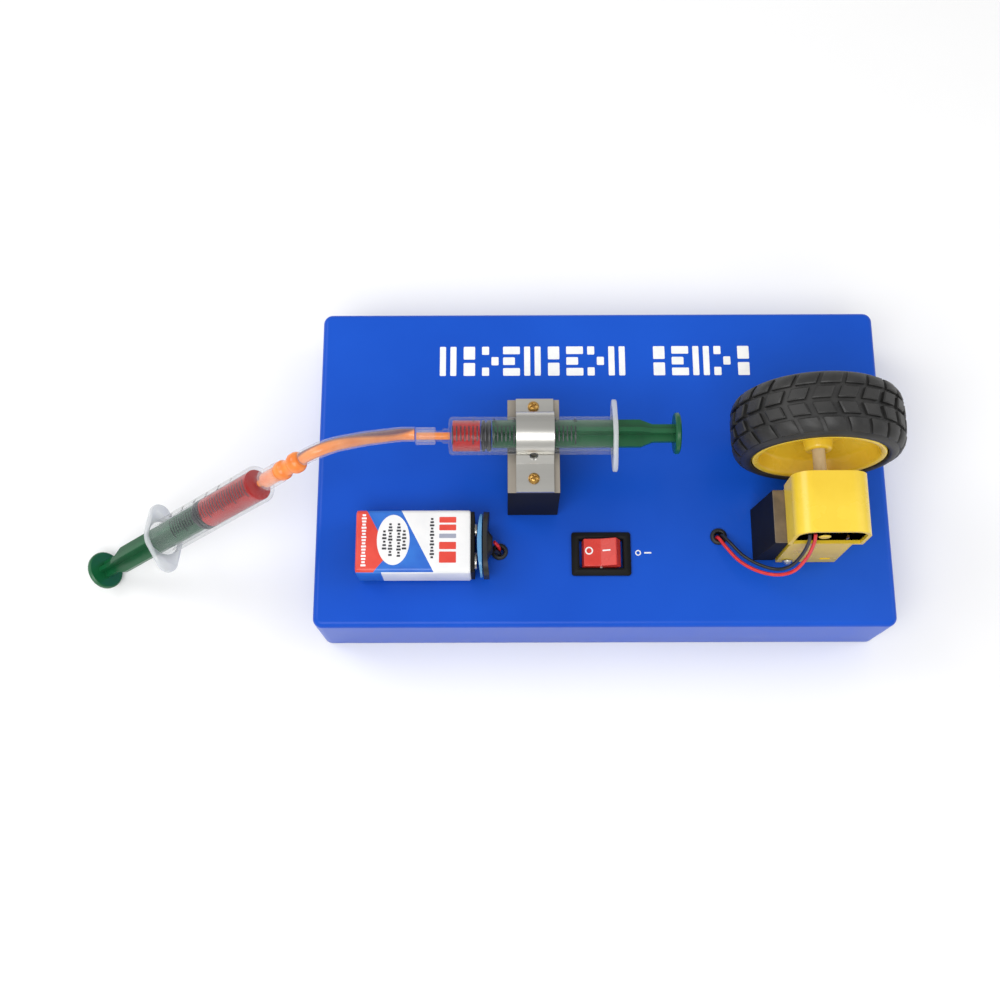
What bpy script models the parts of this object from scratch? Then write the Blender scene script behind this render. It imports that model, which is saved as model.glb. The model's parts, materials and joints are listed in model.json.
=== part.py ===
"""Hydraulic brake demonstrator: two linked syringes, and a battery-driven wheel that one of them brakes.

The frame is in metres with +Z up. Its origin is on the table under the centre of the base, +X points
from the hose end to the wheel end, and -Y is the front, where the battery and the switch are.
"""

import math

import bmesh
import bpy
from mathutils import Matrix, Vector

MM = 0.001
GAP = 0.3 * MM  # clearance kept between neighbouring solids

# Base: an upside-down tray closed by a bottom cover
BASE_LENGTH = 240 * MM
BASE_DEPTH = 139 * MM
BASE_HEIGHT = 38 * MM
BASE_WALL = 3 * MM
BASE_CORNER = 4 * MM
BASE_FILLET = 2.6 * MM
COVER_THICKNESS = 3 * MM
CORNER_BLOCK = 16 * MM
COVER_SCREW_INSET = 8 * MM
TOP = BASE_HEIGHT

# Shared axis of the slave syringe and height of the wheel's shaft
AXIS_HEIGHT = TOP + 37 * MM
SYRINGE_Y = 1 * MM

# Clamp block and strap
BLOCK_X = -29.3 * MM
BLOCK_WIDTH = 20.8 * MM
BLOCK_FRONT = -22.3 * MM
BLOCK_BACK = 16.7 * MM
BLOCK_HEIGHT = 33.3 * MM
STRAP_WIDTH = 15 * MM
STRAP_SHEET = 1 * MM
STRAP_BEND_Y = -10.7 * MM  # where the front foot turns up towards the syringe
STRAP_SLOT_RADIUS = 1.8 * MM
STRAP_HOLE_RADIUS = 1.75 * MM
PILOT_RADIUS = 1.7 * MM  # holes for the screws in the two blocks
PILOT_DEPTH = 13 * MM
STRAP_SCREW_YS = {"front": -16.8 * MM, "back": 13.2 * MM}
BLOCK_SCREW_YS = {"front": -11 * MM, "back": 6 * MM}

# Syringes, along their own axis from the shoulder (0) to the flange and the thumb disc
BARREL_LENGTH = 66.6 * MM
BARREL_RADIUS = 7.6 * MM
BORE_RADIUS = 6.3 * MM
FLANGE_SPAN = 29.8 * MM
FLANGE_THICKNESS = 2 * MM
FLANGE_WING_RADIUS = 5 * MM
FLANGE_MIDDLE_RADIUS = 9 * MM
TIP_ROOT_RADIUS = 3 * MM
TIP_RADIUS = 2.2 * MM
TIP_BORE = 0.9 * MM
SEAL_LENGTH = 4.4 * MM
PLUNGER_LENGTH = 74.2 * MM
THUMB_RADIUS = 8.25 * MM
THUMB_THICKNESS = 2.2 * MM
RIB_THICKNESS = 1.8 * MM
RIB_WIDE = 5.6 * MM
RIB_NARROW = 3.6 * MM
RIB_WIDE_END = 58.6 * MM
RIB_NARROW_START = 63.5 * MM
SLAVE_FLUID = 12.4 * MM
MASTER_FLUID = 32.7 * MM
SLAVE_SHOULDER = Vector((-62.9 * MM, SYRINGE_Y, AXIS_HEIGHT))
SLAVE_DIRECTION = Vector((1, 0, 0))
MASTER_SHOULDER = Vector((-135.6 * MM, -20 * MM, TOP + 41.9 * MM))
MASTER_DIRECTION = Vector((-0.7300, -0.1640, -0.6634)).normalized()

# Hose
HOSE_RADIUS = 3 * MM
SLAVE_SLEEVE = (-13.2 * MM, -5.4 * MM)
MASTER_CONNECTOR = (-25 * MM, -3 * MM)
MASTER_SLEEVE = (-11.5 * MM, -3.3 * MM)
HOSE_ROUTE_MM = (
    (-117.0, -15.8, 96.8), (-114.6, -15.2, 98.7), (-111.4, -14.2, 100.1), (-107.6, -12.6, 100.0),
    (-103.4, -10.4, 97.6), (-99.0, -7.9, 93.2), (-94.6, -5.2, 88.1), (-90.2, -2.8, 83.0),
    (-86.0, -0.8, 78.8), (-82.4, 0.5, 76.3), (-79.4, 0.95, 75.15), (-76.5, 1.0, 75.0),
)

# Wheel, turning about an axis along Y
WHEEL_X = 83 * MM
WHEEL_Y = 3 * MM
TYRE_RADIUS = 34 * MM
TYRE_WIDTH = 26 * MM
RIM_SEAT = 26.5 * MM
TREAD_PITCHES = 22
TREAD_DEPTH = 1.6 * MM
SHAFT_RADIUS = 2.5 * MM
SHAFT_END_Y = 8.4 * MM
PIN_RADIUS = 1 * MM
RUNNING_FIT = 0.05 * MM  # between a shaft and what turns on it, or it in

# Gear motor: a yellow case with the motor in front and the gears behind it
CASE_LEFT = 71 * MM
CASE_RIGHT = 95.3 * MM
CASE_SHOULDER = 30 * MM
CASE_TOP = 50 * MM
BOOT_LEFT = 70 * MM
BOOT_RIGHT = 99.4 * MM
BOOT_CORNER = 7.5 * MM
CASE_WALL = 1.4 * MM
CASE_BACK_Y = -18.5 * MM
CASE_FRONT_Y = -42.8 * MM
MODULE = 0.7 * MM
PINION_TEETH = 10
WHEEL_TEETH = 24
GEAR_FACE = 2.4 * MM
OUTPUT_GEAR_Y = -21 * MM
DRIVEN_GEAR_Y = -24 * MM
PLATE_Y = (-28.3 * MM, -26.9 * MM)
CAN_Y = (-39.4 * MM, -28.7 * MM)
CAN_RADIUS = 10 * MM
CAN_FLAT = 8.6 * MM
LAYSHAFT_Z = AXIS_HEIGHT - MODULE * (PINION_TEETH + WHEEL_TEETH) / 2

# Block that the gear motor is screwed to; its outer side leans inwards
MOTOR_BLOCK_OUTER = 61.7 * MM
MOTOR_BLOCK_OUTER_TOP = 65.3 * MM
MOTOR_BLOCK_INNER = 70.6 * MM
MOTOR_BLOCK_Y = (-42 * MM, -20.3 * MM)
MOTOR_BLOCK_HEIGHT = 29.7 * MM

# Rocker switch
SWITCH_X = -1 * MM
SWITCH_Y = -39.2 * MM
BEZEL_SIZE = (24.6 * MM, 18.4 * MM)
BEZEL_HEIGHT = 2 * MM
SWITCH_OPENING = (18.2 * MM, 12.4 * MM)
SWITCH_BODY = (21 * MM, 14.6 * MM)
SWITCH_DEPTH = 13 * MM
ROCKER_TILT = math.radians(9)
ROCKER_PIVOT_Z = TOP + 0.6 * MM
ROCKER_BORE = 0.9 * MM
TERMINAL_X = 5 * MM

# Battery and its snap connector
BATTERY_LOW = Vector((-101 * MM, -50.8 * MM, TOP + 1.1 * MM))
BATTERY_SIZE = Vector((46.4 * MM, 26.2 * MM, 16.8 * MM))
TERMINAL_SPACING = 12.7 * MM
SNAP_THICKNESS = (2.0 * MM, 2.2 * MM)
SNAP_BOOT_END_X = -45.9 * MM

# Grommets where the leads enter the base
BATTERY_GROMMET = (-43.1 * MM, -38.1 * MM)
MOTOR_GROMMET = (48 * MM, -31.9 * MM)
GROMMET_HOLE = 2.6 * MM
LEAD_RADIUS = 0.7 * MM

BATTERY_RED_MM = (
    (-45.2, -35.6, 45.2), (-44.2, -36.4, 44.0), (-43.3, -37.0, 41.6), (-43.1, -37.2, 38.0),
    (-43.0, -37.2, 33.0), (-40.5, -37.4, 27.0), (-34.0, -38.2, 22.0), (-24.0, -39.0, 18.5),
    (-13.0, -39.2, 16.8), (-7.5, -39.2, 17.2), (-6.0, -39.2, 19.6),
)
BATTERY_BLACK_MM = (
    (-45.2, -38.6, 43.4), (-44.3, -38.8, 42.6), (-43.5, -39.0, 41.0), (-43.1, -39.0, 38.0),
    (-43.2, -39.3, 33.0), (-43.4, -39.8, 24.0), (-41.5, -37.0, 14.0), (-36.0, -29.5, 9.5),
    (-26.0, -23.0, 8.5), (-8.0, -21.0, 8.5), (16.0, -21.5, 10.0), (36.0, -25.0, 15.0),
    (46.5, -29.5, 24.0), (48.5, -31.0, 31.0), (48.7, -31.5, 34.4),
)
SWITCH_RED_MM = (
    (4.0, -39.2, 19.6), (5.5, -39.2, 17.4), (10.5, -39.3, 16.6), (22.0, -38.6, 17.4),
    (35.0, -36.5, 20.5), (44.0, -34.0, 25.5), (46.9, -32.6, 30.6), (47.3, -32.3, 34.4),
)
MOTOR_RED_MM = (
    (47.3, -32.3, 34.8), (47.3, -32.3, 38.2), (47.7, -33.1, 40.8), (50.4, -38.0, 43.4), (55.0, -44.0, 45.5),
    (61.3, -48.7, 48.4), (68.5, -51.2, 51.8), (74.3, -50.8, 57.2), (77.6, -47.6, 65.8), (78.4, -44.8, 74.4),
    (78.3, -43.0, 78.8), (78.2, -41.7, 80.4),
)
MOTOR_BLACK_MM = (
    (48.7, -31.5, 34.8), (48.7, -31.5, 38.2), (49.4, -32.2, 40.9), (52.2, -36.2, 43.6), (56.3, -41.6, 45.8),
    (62.2, -46.2, 48.6), (68.6, -49.0, 52.2), (73.2, -48.8, 57.8), (75.8, -46.4, 66.2), (76.4, -44.3, 74.4),
    (76.2, -42.9, 78.8), (76.0, -41.7, 80.4),
)

AXES = {
    "X": Matrix(((0, 0, 1), (1, 0, 0), (0, 1, 0))),
    "Y": Matrix(((1, 0, 0), (0, 0, 1), (0, 1, 0))),
    "Z": Matrix.Identity(3),
}


def clear_scene():
    for obj in list(bpy.data.objects):
        bpy.data.objects.remove(obj, do_unlink=True)


def make_material(name, color, roughness, metallic=0.0):
    material = bpy.data.materials.new(name)
    material.use_nodes = True
    shader = material.node_tree.nodes["Principled BSDF"]
    shader.inputs["Base Color"].default_value = (*color, 1.0)
    shader.inputs["Roughness"].default_value = roughness
    shader.inputs["Metallic"].default_value = metallic
    return material


def make_object(name, mesh_data, material, matrix=None, smooth=True):
    """Turns a bmesh into a named object whose faces point outwards."""
    bmesh.ops.recalc_face_normals(mesh_data, faces=mesh_data.faces)
    mesh = bpy.data.meshes.new(name)
    mesh_data.to_mesh(mesh)
    mesh_data.free()
    if smooth:
        mesh.shade_smooth()
        mesh.set_sharp_from_angle(angle=math.radians(35))
    if material is not None:
        mesh.materials.append(material)
    obj = bpy.data.objects.new(name, mesh)
    bpy.context.collection.objects.link(obj)
    if matrix is not None:
        obj.matrix_world = matrix
    return obj


def add_prism(mesh_data, outline, low, high, axis="Z"):
    """Adds a closed outline extruded from low to high along an axis; its points are in the other two axes."""
    turn = AXES[axis]
    bottom = [mesh_data.verts.new(turn @ Vector((a, b, low))) for a, b in outline]
    face = mesh_data.faces.new(bottom)
    result = bmesh.ops.extrude_face_region(mesh_data, geom=[face], use_keep_orig=True)
    moved = [item for item in result["geom"] if isinstance(item, bmesh.types.BMVert)]
    bmesh.ops.translate(mesh_data, verts=moved, vec=turn @ Vector((0, 0, high - low)))
    return moved


def add_lathe(mesh_data, profile, centre=(0, 0, 0), axis="Z", steps=32):
    """Adds a solid turned about an axis from a closed profile of (radius, distance along the axis)."""
    turn = AXES[axis]
    centre = Vector(centre)
    verts = [mesh_data.verts.new(centre + turn @ Vector((radius, 0, along))) for radius, along in profile]
    pairs = zip(verts, verts[1:] + verts[:1])
    edges = [mesh_data.edges.new(pair) for pair in pairs if pair_is_off_axis(pair, centre, turn)]
    bmesh.ops.spin(
        mesh_data, geom=verts + edges, cent=centre, axis=turn @ Vector((0, 0, 1)),
        angle=2 * math.pi, steps=steps, use_merge=True,
    )
    bmesh.ops.remove_doubles(mesh_data, verts=mesh_data.verts, dist=0.001 * MM)


def pair_is_off_axis(pair, centre, turn):
    """A profile's edge along the axis sweeps no face, so it is left out."""
    along = turn @ Vector((0, 0, 1))
    offsets = [vert.co - centre for vert in pair]
    return any((offset - along * offset.dot(along)).length > 0.001 * MM for offset in offsets)


def box_outline(low, high):
    return [(low[0], low[1]), (high[0], low[1]), (high[0], high[1]), (low[0], high[1])]


def rounded_outline(low, high, radius, steps=4):
    """A rectangle from low to high whose corners are arcs."""
    points = []
    corners = ((high[0], high[1], 0), (low[0], high[1], 90), (low[0], low[1], 180), (high[0], low[1], 270))
    for x, y, start in corners:
        centre_x = x - math.copysign(radius, x - (low[0] + high[0]) / 2)
        centre_y = y - math.copysign(radius, y - (low[1] + high[1]) / 2)
        for step in range(steps + 1):
            angle = math.radians(start + 90 * step / steps)
            points.append((centre_x + radius * math.cos(angle), centre_y + radius * math.sin(angle)))
    return points


def centred_outline(centre, half_a, half_b, radius=0.0, steps=4):
    """A rectangle about a centre, with rounded corners if it has a radius."""
    low, high = (centre[0] - half_a, centre[1] - half_b), (centre[0] + half_a, centre[1] + half_b)
    return rounded_outline(low, high, radius, steps) if radius else box_outline(low, high)


def prism_object(name, material, outline, low, high, axis="Z", matrix=None):
    mesh_data = bmesh.new()
    add_prism(mesh_data, outline, low, high, axis)
    return make_object(name, mesh_data, material, matrix)


def lathe_object(name, material, profile, centre=(0, 0, 0), axis="Z", steps=32, matrix=None):
    mesh_data = bmesh.new()
    add_lathe(mesh_data, profile, centre, axis, steps)
    return make_object(name, mesh_data, material, matrix)


def combine(obj, tool, operation):
    """Cuts a tool object out of obj, or joins it on, and hides the tool."""
    modifier = obj.modifiers.new(tool.name, "BOOLEAN")
    modifier.operation = operation
    modifier.solver = "EXACT"
    modifier.object = tool
    tool.hide_render = True
    tool.display_type = "WIRE"


def place(obj, origin):
    """Moves an object's origin to a point on its joint's axis without moving its shape."""
    offset = Vector(origin)
    obj.data.transform(Matrix.Translation(-offset))
    obj.matrix_world = Matrix.Translation(offset)


def make_materials():
    return {
        "base": make_material("base_plastic", (0.012, 0.092, 0.56), 0.28),
        "black": make_material("black_plastic", (0.012, 0.012, 0.014), 0.45),
        "wood": make_material("clamp_block_top", (0.06, 0.055, 0.05), 0.6),
        "steel": make_material("strap_steel", (0.56, 0.55, 0.52), 0.32, 1.0),
        "brass": make_material("brass", (0.45, 0.24, 0.06), 0.35, 1.0),
        "clear": make_material("clear_plastic", (0.85, 0.86, 0.86), 0.12),
        "green": make_material("green_plastic", (0.006, 0.12, 0.035), 0.35),
        "rubber": make_material("black_rubber", (0.01, 0.01, 0.01), 0.6),
        "red_fluid": make_material("red_fluid", (0.42, 0.008, 0.008), 0.15),
        "orange": make_material("orange_plastic", (0.85, 0.22, 0.03), 0.3),
        "hose": make_material("hose", (0.86, 0.35, 0.12), 0.2),
        "yellow": make_material("yellow_plastic", (0.9, 0.62, 0.04), 0.35),
        "white": make_material("white_gear", (0.8, 0.8, 0.78), 0.45),
        "tyre": make_material("tyre", (0.02, 0.02, 0.02), 0.75),
        "red": make_material("rocker_red", (0.62, 0.025, 0.02), 0.3),
        "battery": make_material("battery_case", (0.6, 0.04, 0.05), 0.3),
        "wire_red": make_material("wire_red", (0.6, 0.03, 0.03), 0.35),
        "wire_black": make_material("wire_black", (0.012, 0.012, 0.013), 0.4),
    }


def chamfered_outline(half_x, half_y, cut):
    points = []
    for sx, sy in ((1, 1), (-1, 1), (-1, -1), (1, -1)):
        pair = [(sx * half_x, sy * (half_y - cut)), (sx * (half_x - cut), sy * half_y)]
        points += pair if sx * sy > 0 else pair[::-1]
    return points


def cover_screw_places():
    half_x = BASE_LENGTH / 2 - COVER_SCREW_INSET
    half_y = BASE_DEPTH / 2 - COVER_SCREW_INSET
    return [(sx * half_x, sy * half_y) for sx, sy in ((-1, -1), (1, -1), (1, 1), (-1, 1))]


def disc_profile(radius, low, high):
    return [(0, low), (radius, low), (radius, high), (0, high)]


def block_pilot_profile():
    """A screw hole up into a block from its underside."""
    return disc_profile(PILOT_RADIUS, TOP - 1 * MM, TOP + PILOT_DEPTH)


def block_screw_places():
    motor_x = (MOTOR_BLOCK_OUTER + MOTOR_BLOCK_INNER) / 2
    return {
        "clamp_block_screw_front": (BLOCK_X, BLOCK_SCREW_YS["front"]),
        "clamp_block_screw_back": (BLOCK_X, BLOCK_SCREW_YS["back"]),
        "motor_block_screw_front": (motor_x, MOTOR_BLOCK_Y[0] + 6 * MM),
        "motor_block_screw_back": (motor_x, MOTOR_BLOCK_Y[1] - 6 * MM),
    }


def build_base(materials):
    half_x, half_y = BASE_LENGTH / 2, BASE_DEPTH / 2
    mesh_data = bmesh.new()
    outline = rounded_outline((-half_x, -half_y), (half_x, half_y), BASE_CORNER)
    add_prism(mesh_data, outline, 0, BASE_HEIGHT)
    rim = [edge for edge in mesh_data.edges if all(abs(v.co.z - BASE_HEIGHT) < 0.01 * MM for v in edge.verts)]
    bmesh.ops.bevel(mesh_data, geom=rim, offset=BASE_FILLET, segments=3, affect="EDGES", profile=0.5)
    base = make_object("base_shell", mesh_data, materials["base"])

    hollow = bmesh.new()
    outline = chamfered_outline(half_x - BASE_WALL, half_y - BASE_WALL, CORNER_BLOCK)
    add_prism(hollow, outline, 1 * MM, BASE_HEIGHT - BASE_WALL)
    for x, y in cover_screw_places():
        add_lathe(hollow, disc_profile(1.7 * MM, 1 * MM, 16 * MM), (x, y, 0), steps=12)
    combine(base, make_object("base_hollow_cutter", hollow, None), "DIFFERENCE")

    openings = bmesh.new()
    recess_x, recess_y = half_x - BASE_WALL + GAP, half_y - BASE_WALL + GAP
    recess = box_outline((-recess_x, -recess_y), (recess_x, recess_y))
    add_prism(openings, recess, -1 * MM, COVER_THICKNESS + GAP)
    drill_low, drill_high = BASE_HEIGHT - 2 * BASE_WALL, BASE_HEIGHT + 1 * MM
    for x, y in (BATTERY_GROMMET, MOTOR_GROMMET):
        add_lathe(openings, disc_profile(GROMMET_HOLE + GAP, drill_low, drill_high), (x, y, 0), steps=20)
    for x, y in block_screw_places().values():
        add_lathe(openings, disc_profile(1.8 * MM, drill_low, drill_high), (x, y, 0), steps=12)
    cut_x, cut_y = SWITCH_BODY[0] / 2 + GAP, SWITCH_BODY[1] / 2 + GAP
    add_prism(openings, centred_outline((SWITCH_X, SWITCH_Y), cut_x, cut_y), drill_low, drill_high)
    combine(base, make_object("base_opening_cutter", openings, None), "DIFFERENCE")


def build_bottom_cover(materials):
    half_x, half_y = BASE_LENGTH / 2 - BASE_WALL, BASE_DEPTH / 2 - BASE_WALL
    outline = box_outline((-half_x, -half_y), (half_x, half_y))
    cover = prism_object("bottom_cover", materials["black"], outline, 0, COVER_THICKNESS)
    holes = bmesh.new()
    stepped = [(0, -1 * MM), (3.4 * MM, -1 * MM), (3.4 * MM, 1.8 * MM), (1.8 * MM, 1.8 * MM),
               (1.8 * MM, 4 * MM), (0, 4 * MM)]
    head = [(0, 0.4 * MM), (3 * MM, 0.4 * MM), (3 * MM, 1.5 * MM), (1.4 * MM, 1.5 * MM),
            (1.4 * MM, 14 * MM), (0, 14 * MM)]
    for number, (x, y) in enumerate(cover_screw_places(), start=1):
        add_lathe(holes, stepped, (x, y, 0), steps=16)
        lathe_object(f"cover_screw_{number}", materials["steel"], head, (x, y, 0), steps=12)
    combine(cover, make_object("cover_hole_cutter", holes, None), "DIFFERENCE")


def round_head_screw(name, material, centre, axis, head_radius, head_height, shank_radius, length, sign=1):
    """A screw whose head stands from centre along sign times the axis, with its shank the other way."""
    profile = [
        (0, head_height), (head_radius * 0.55, head_height * 0.86), (head_radius * 0.9, head_height * 0.45),
        (head_radius, 0), (shank_radius, 0), (shank_radius, -length), (0, -length),
    ]
    profile = [(radius, sign * along) for radius, along in profile]
    return lathe_object(name, material, profile, centre, axis, steps=14)


def build_block_screws(materials):
    """Screws that come up through the base's top wall into the two blocks."""
    for name, (x, y) in block_screw_places().items():
        centre = (x, y, BASE_HEIGHT - BASE_WALL - GAP)
        round_head_screw(name, materials["steel"], centre, "Z", 3 * MM, 1.8 * MM, 1.4 * MM, 14 * MM, sign=-1)


def build_clamp(materials):
    half = BLOCK_WIDTH / 2
    outline = box_outline((BLOCK_X - half, BLOCK_FRONT), (BLOCK_X + half, BLOCK_BACK))
    block_top = TOP + BLOCK_HEIGHT
    block = prism_object("clamp_block", materials["black"], outline, TOP + GAP, block_top)
    cuts = bmesh.new()
    groove = disc_profile(BARREL_RADIUS + GAP, BLOCK_X - half - 1 * MM, BLOCK_X + half + 1 * MM)
    add_lathe(cuts, groove, (0, SYRINGE_Y, AXIS_HEIGHT), "X", steps=32)
    strap_hole = disc_profile(PILOT_RADIUS, block_top - 12 * MM, block_top + 1 * MM)
    for y in STRAP_SCREW_YS.values():
        add_lathe(cuts, strap_hole, (BLOCK_X, y, 0), steps=12)
    for y in BLOCK_SCREW_YS.values():
        add_lathe(cuts, block_pilot_profile(), (BLOCK_X, y, 0), steps=12)
    combine(block, make_object("clamp_block_cutter", cuts, None), "DIFFERENCE")

    foot_low = block_top + GAP
    foot_high = foot_low + STRAP_SHEET
    inner = BARREL_RADIUS + GAP
    outer = inner + STRAP_SHEET
    outline = [(BLOCK_BACK, foot_low), (BLOCK_BACK, foot_high), (SYRINGE_Y + outer, foot_high)]
    outline += arc_points(SYRINGE_Y, AXIS_HEIGHT, outer, 0, 180, 12)
    outline += [(STRAP_BEND_Y, foot_high), (BLOCK_FRONT, foot_high), (BLOCK_FRONT, foot_low)]
    outline += [(STRAP_BEND_Y + STRAP_SHEET / 2, foot_low)]
    outline += arc_points(SYRINGE_Y, AXIS_HEIGHT, inner, 180, 0, 12)
    outline += [(SYRINGE_Y + inner, foot_low)]
    low_x, high_x = BLOCK_X - STRAP_WIDTH / 2 + 0.5 * MM, BLOCK_X + STRAP_WIDTH / 2 + 0.5 * MM
    strap = prism_object("clamp_strap", materials["steel"], outline, low_x, high_x, "X")
    holes = bmesh.new()
    hole = disc_profile(STRAP_HOLE_RADIUS, foot_low - 1 * MM, foot_high + 0.6 * MM)
    for y in STRAP_SCREW_YS.values():
        add_lathe(holes, hole, (BLOCK_X, y, 0), steps=14)
    slot = disc_profile(STRAP_SLOT_RADIUS, BLOCK_FRONT, SYRINGE_Y - BORE_RADIUS)
    add_lathe(holes, slot, (BLOCK_X, 0, AXIS_HEIGHT + 0.4 * MM), "Y", steps=14)
    combine(strap, make_object("strap_hole_cutter", holes, None), "DIFFERENCE")
    for side, y in STRAP_SCREW_YS.items():
        round_head_screw(
            f"strap_screw_{side}", materials["brass"], (BLOCK_X, y, foot_high + GAP), "Z",
            2.3 * MM, 1.6 * MM, 1.35 * MM, 11 * MM,
        )


def arc_points(centre_a, centre_b, radius, start, end, steps):
    points = []
    for step in range(steps + 1):
        angle = math.radians(start + (end - start) * step / steps)
        points.append((centre_a + radius * math.cos(angle), centre_b + radius * math.sin(angle)))
    return points


def syringe_matrix(shoulder, direction):
    """Local +X runs from the shoulder to the thumb disc, and local Y stays level."""
    x_axis = direction.normalized()
    y_axis = Vector((0, 0, 1)).cross(x_axis).normalized()
    z_axis = x_axis.cross(y_axis)
    matrix = Matrix((x_axis, y_axis, z_axis)).transposed().to_4x4()
    matrix.translation = shoulder
    return matrix


def wing_outline():
    """The finger flange: a round middle with two round-ended wings, as one smooth outline."""
    wing_centre = FLANGE_SPAN / 2 - FLANGE_WING_RADIUS
    lean = math.degrees(math.acos((FLANGE_MIDDLE_RADIUS - FLANGE_WING_RADIUS) / wing_centre))
    points = arc_points(wing_centre, 0, FLANGE_WING_RADIUS, -lean, lean, 8)
    points += arc_points(0, 0, FLANGE_MIDDLE_RADIUS, lean, 180 - lean, 5)
    points += arc_points(-wing_centre, 0, FLANGE_WING_RADIUS, 180 - lean, 180 + lean, 8)
    points += arc_points(0, 0, FLANGE_MIDDLE_RADIUS, 180 + lean, 360 - lean, 5)
    return points


def build_syringe(prefix, matrix, fluid_length, tip_length, materials):
    inner = BORE_RADIUS
    profile = [
        (inner, BARREL_LENGTH), (BARREL_RADIUS, BARREL_LENGTH), (BARREL_RADIUS, 0.8 * MM),
        (BARREL_RADIUS - 0.8 * MM, 0), (TIP_ROOT_RADIUS, 0), (TIP_ROOT_RADIUS, -2.4 * MM),
        (TIP_RADIUS, -2.8 * MM), (TIP_RADIUS - 0.2 * MM, -tip_length), (TIP_BORE, -tip_length),
        (TIP_BORE, 0.6 * MM), (inner, 1.4 * MM),
    ]
    barrel = lathe_object(f"{prefix}_barrel", materials["clear"], profile, axis="X", matrix=matrix)
    flange = bmesh.new()
    add_prism(flange, wing_outline(), BARREL_LENGTH - FLANGE_THICKNESS, BARREL_LENGTH - 0.01 * MM, "X")
    flange = make_object(f"{prefix}_flange_tool", flange, None, matrix)
    middle = (inner + BARREL_RADIUS) / 2
    bore = disc_profile(middle, BARREL_LENGTH - 2 * FLANGE_THICKNESS, BARREL_LENGTH + 1 * MM)
    bore = lathe_object(f"{prefix}_flange_bore_cutter", None, bore, axis="X", matrix=matrix)
    combine(flange, bore, "DIFFERENCE")
    combine(barrel, flange, "UNION")

    fluid = disc_profile(inner - GAP, 1.7 * MM, fluid_length - GAP)
    lathe_object(f"{prefix}_fluid", materials["red_fluid"], fluid, axis="X", steps=24, matrix=matrix)

    rib, groove = inner - GAP, inner - 1.2 * MM
    back = fluid_length + SEAL_LENGTH
    seal = [
        (0, fluid_length), (groove, fluid_length + 0.7 * MM), (rib, fluid_length + 0.9 * MM),
        (rib, fluid_length + 1.7 * MM), (groove, fluid_length + 1.9 * MM), (groove, back - 1.9 * MM),
        (rib, back - 1.7 * MM), (rib, back - 0.2 * MM), (groove, back), (0, back),
    ]
    lathe_object(f"{prefix}_piston_seal", materials["rubber"], seal, axis="X", steps=28, matrix=matrix)
    build_plunger(prefix, matrix, back + GAP, materials)


def build_plunger(prefix, matrix, start, materials):
    end = start + PLUNGER_LENGTH
    neck = end - THUMB_THICKNESS
    half_outline = [
        (start, RIB_WIDE), (start + RIB_WIDE_END, RIB_WIDE), (start + RIB_NARROW_START, RIB_NARROW),
        (neck + 0.5 * MM, RIB_NARROW),
    ]
    outline = half_outline + [(along, -width) for along, width in reversed(half_outline)]
    half_rib = RIB_THICKNESS / 2
    level = prism_object(f"{prefix}_plunger", materials["green"], outline, -half_rib, half_rib, "Z", matrix)
    upright = [(along + 0.05 * MM, width) if along == start else (along, width) for along, width in outline]
    upright = prism_object(f"{prefix}_rib_tool", None, upright, -half_rib, half_rib, "Y", matrix)
    combine(level, upright, "UNION")
    collar = bmesh.new()
    add_lathe(collar, disc_profile(RIB_WIDE, start + 0.1 * MM, start + 1.2 * MM), axis="X", steps=24)
    combine(level, make_object(f"{prefix}_collar_tool", collar, None, matrix), "UNION")
    edge = 0.5 * MM
    disc = bmesh.new()
    profile = [(0, neck), (THUMB_RADIUS - edge, neck), (THUMB_RADIUS, neck + edge),
               (THUMB_RADIUS, end - edge), (THUMB_RADIUS - edge, end), (0, end)]
    add_lathe(disc, profile, axis="X", steps=32)
    combine(level, make_object(f"{prefix}_thumb_tool", disc, None, matrix), "UNION")


def ring_object(name, material, inner, outer, low, high, matrix, steps=24):
    profile = [(inner, low), (outer, low), (outer, high), (inner, high)]
    return lathe_object(name, material, profile, axis="X", steps=steps, matrix=matrix)


def build_hose(materials, slave, master):
    ring_object("slave_hose_sleeve", materials["clear"], TIP_RADIUS + GAP, 3.5 * MM, *SLAVE_SLEEVE, slave)
    low, high = MASTER_CONNECTOR
    bore = TIP_RADIUS + GAP
    body, barb = 3.0 * MM, 4.1 * MM
    profile = [
        (0, low), (body, low), (barb, low + 1.6 * MM), (barb, low + 4.2 * MM), (body, low + 5.6 * MM),
        (body, low + 8.6 * MM), (barb * 0.95, low + 9.6 * MM), (barb * 0.95, low + 12.2 * MM),
        (body, low + 13.2 * MM), (body, high), (bore, high), (bore, high - 9.2 * MM), (0, high - 9.2 * MM),
    ]
    lathe_object("master_hose_connector", materials["orange"], profile, axis="X", steps=24, matrix=master)
    ring_object("master_hose_sleeve", materials["clear"], body + GAP, 4.2 * MM, *MASTER_SLEEVE, master)
    tube_object("hose", materials["hose"], HOSE_ROUTE_MM, HOSE_RADIUS, 16, 3)


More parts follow.
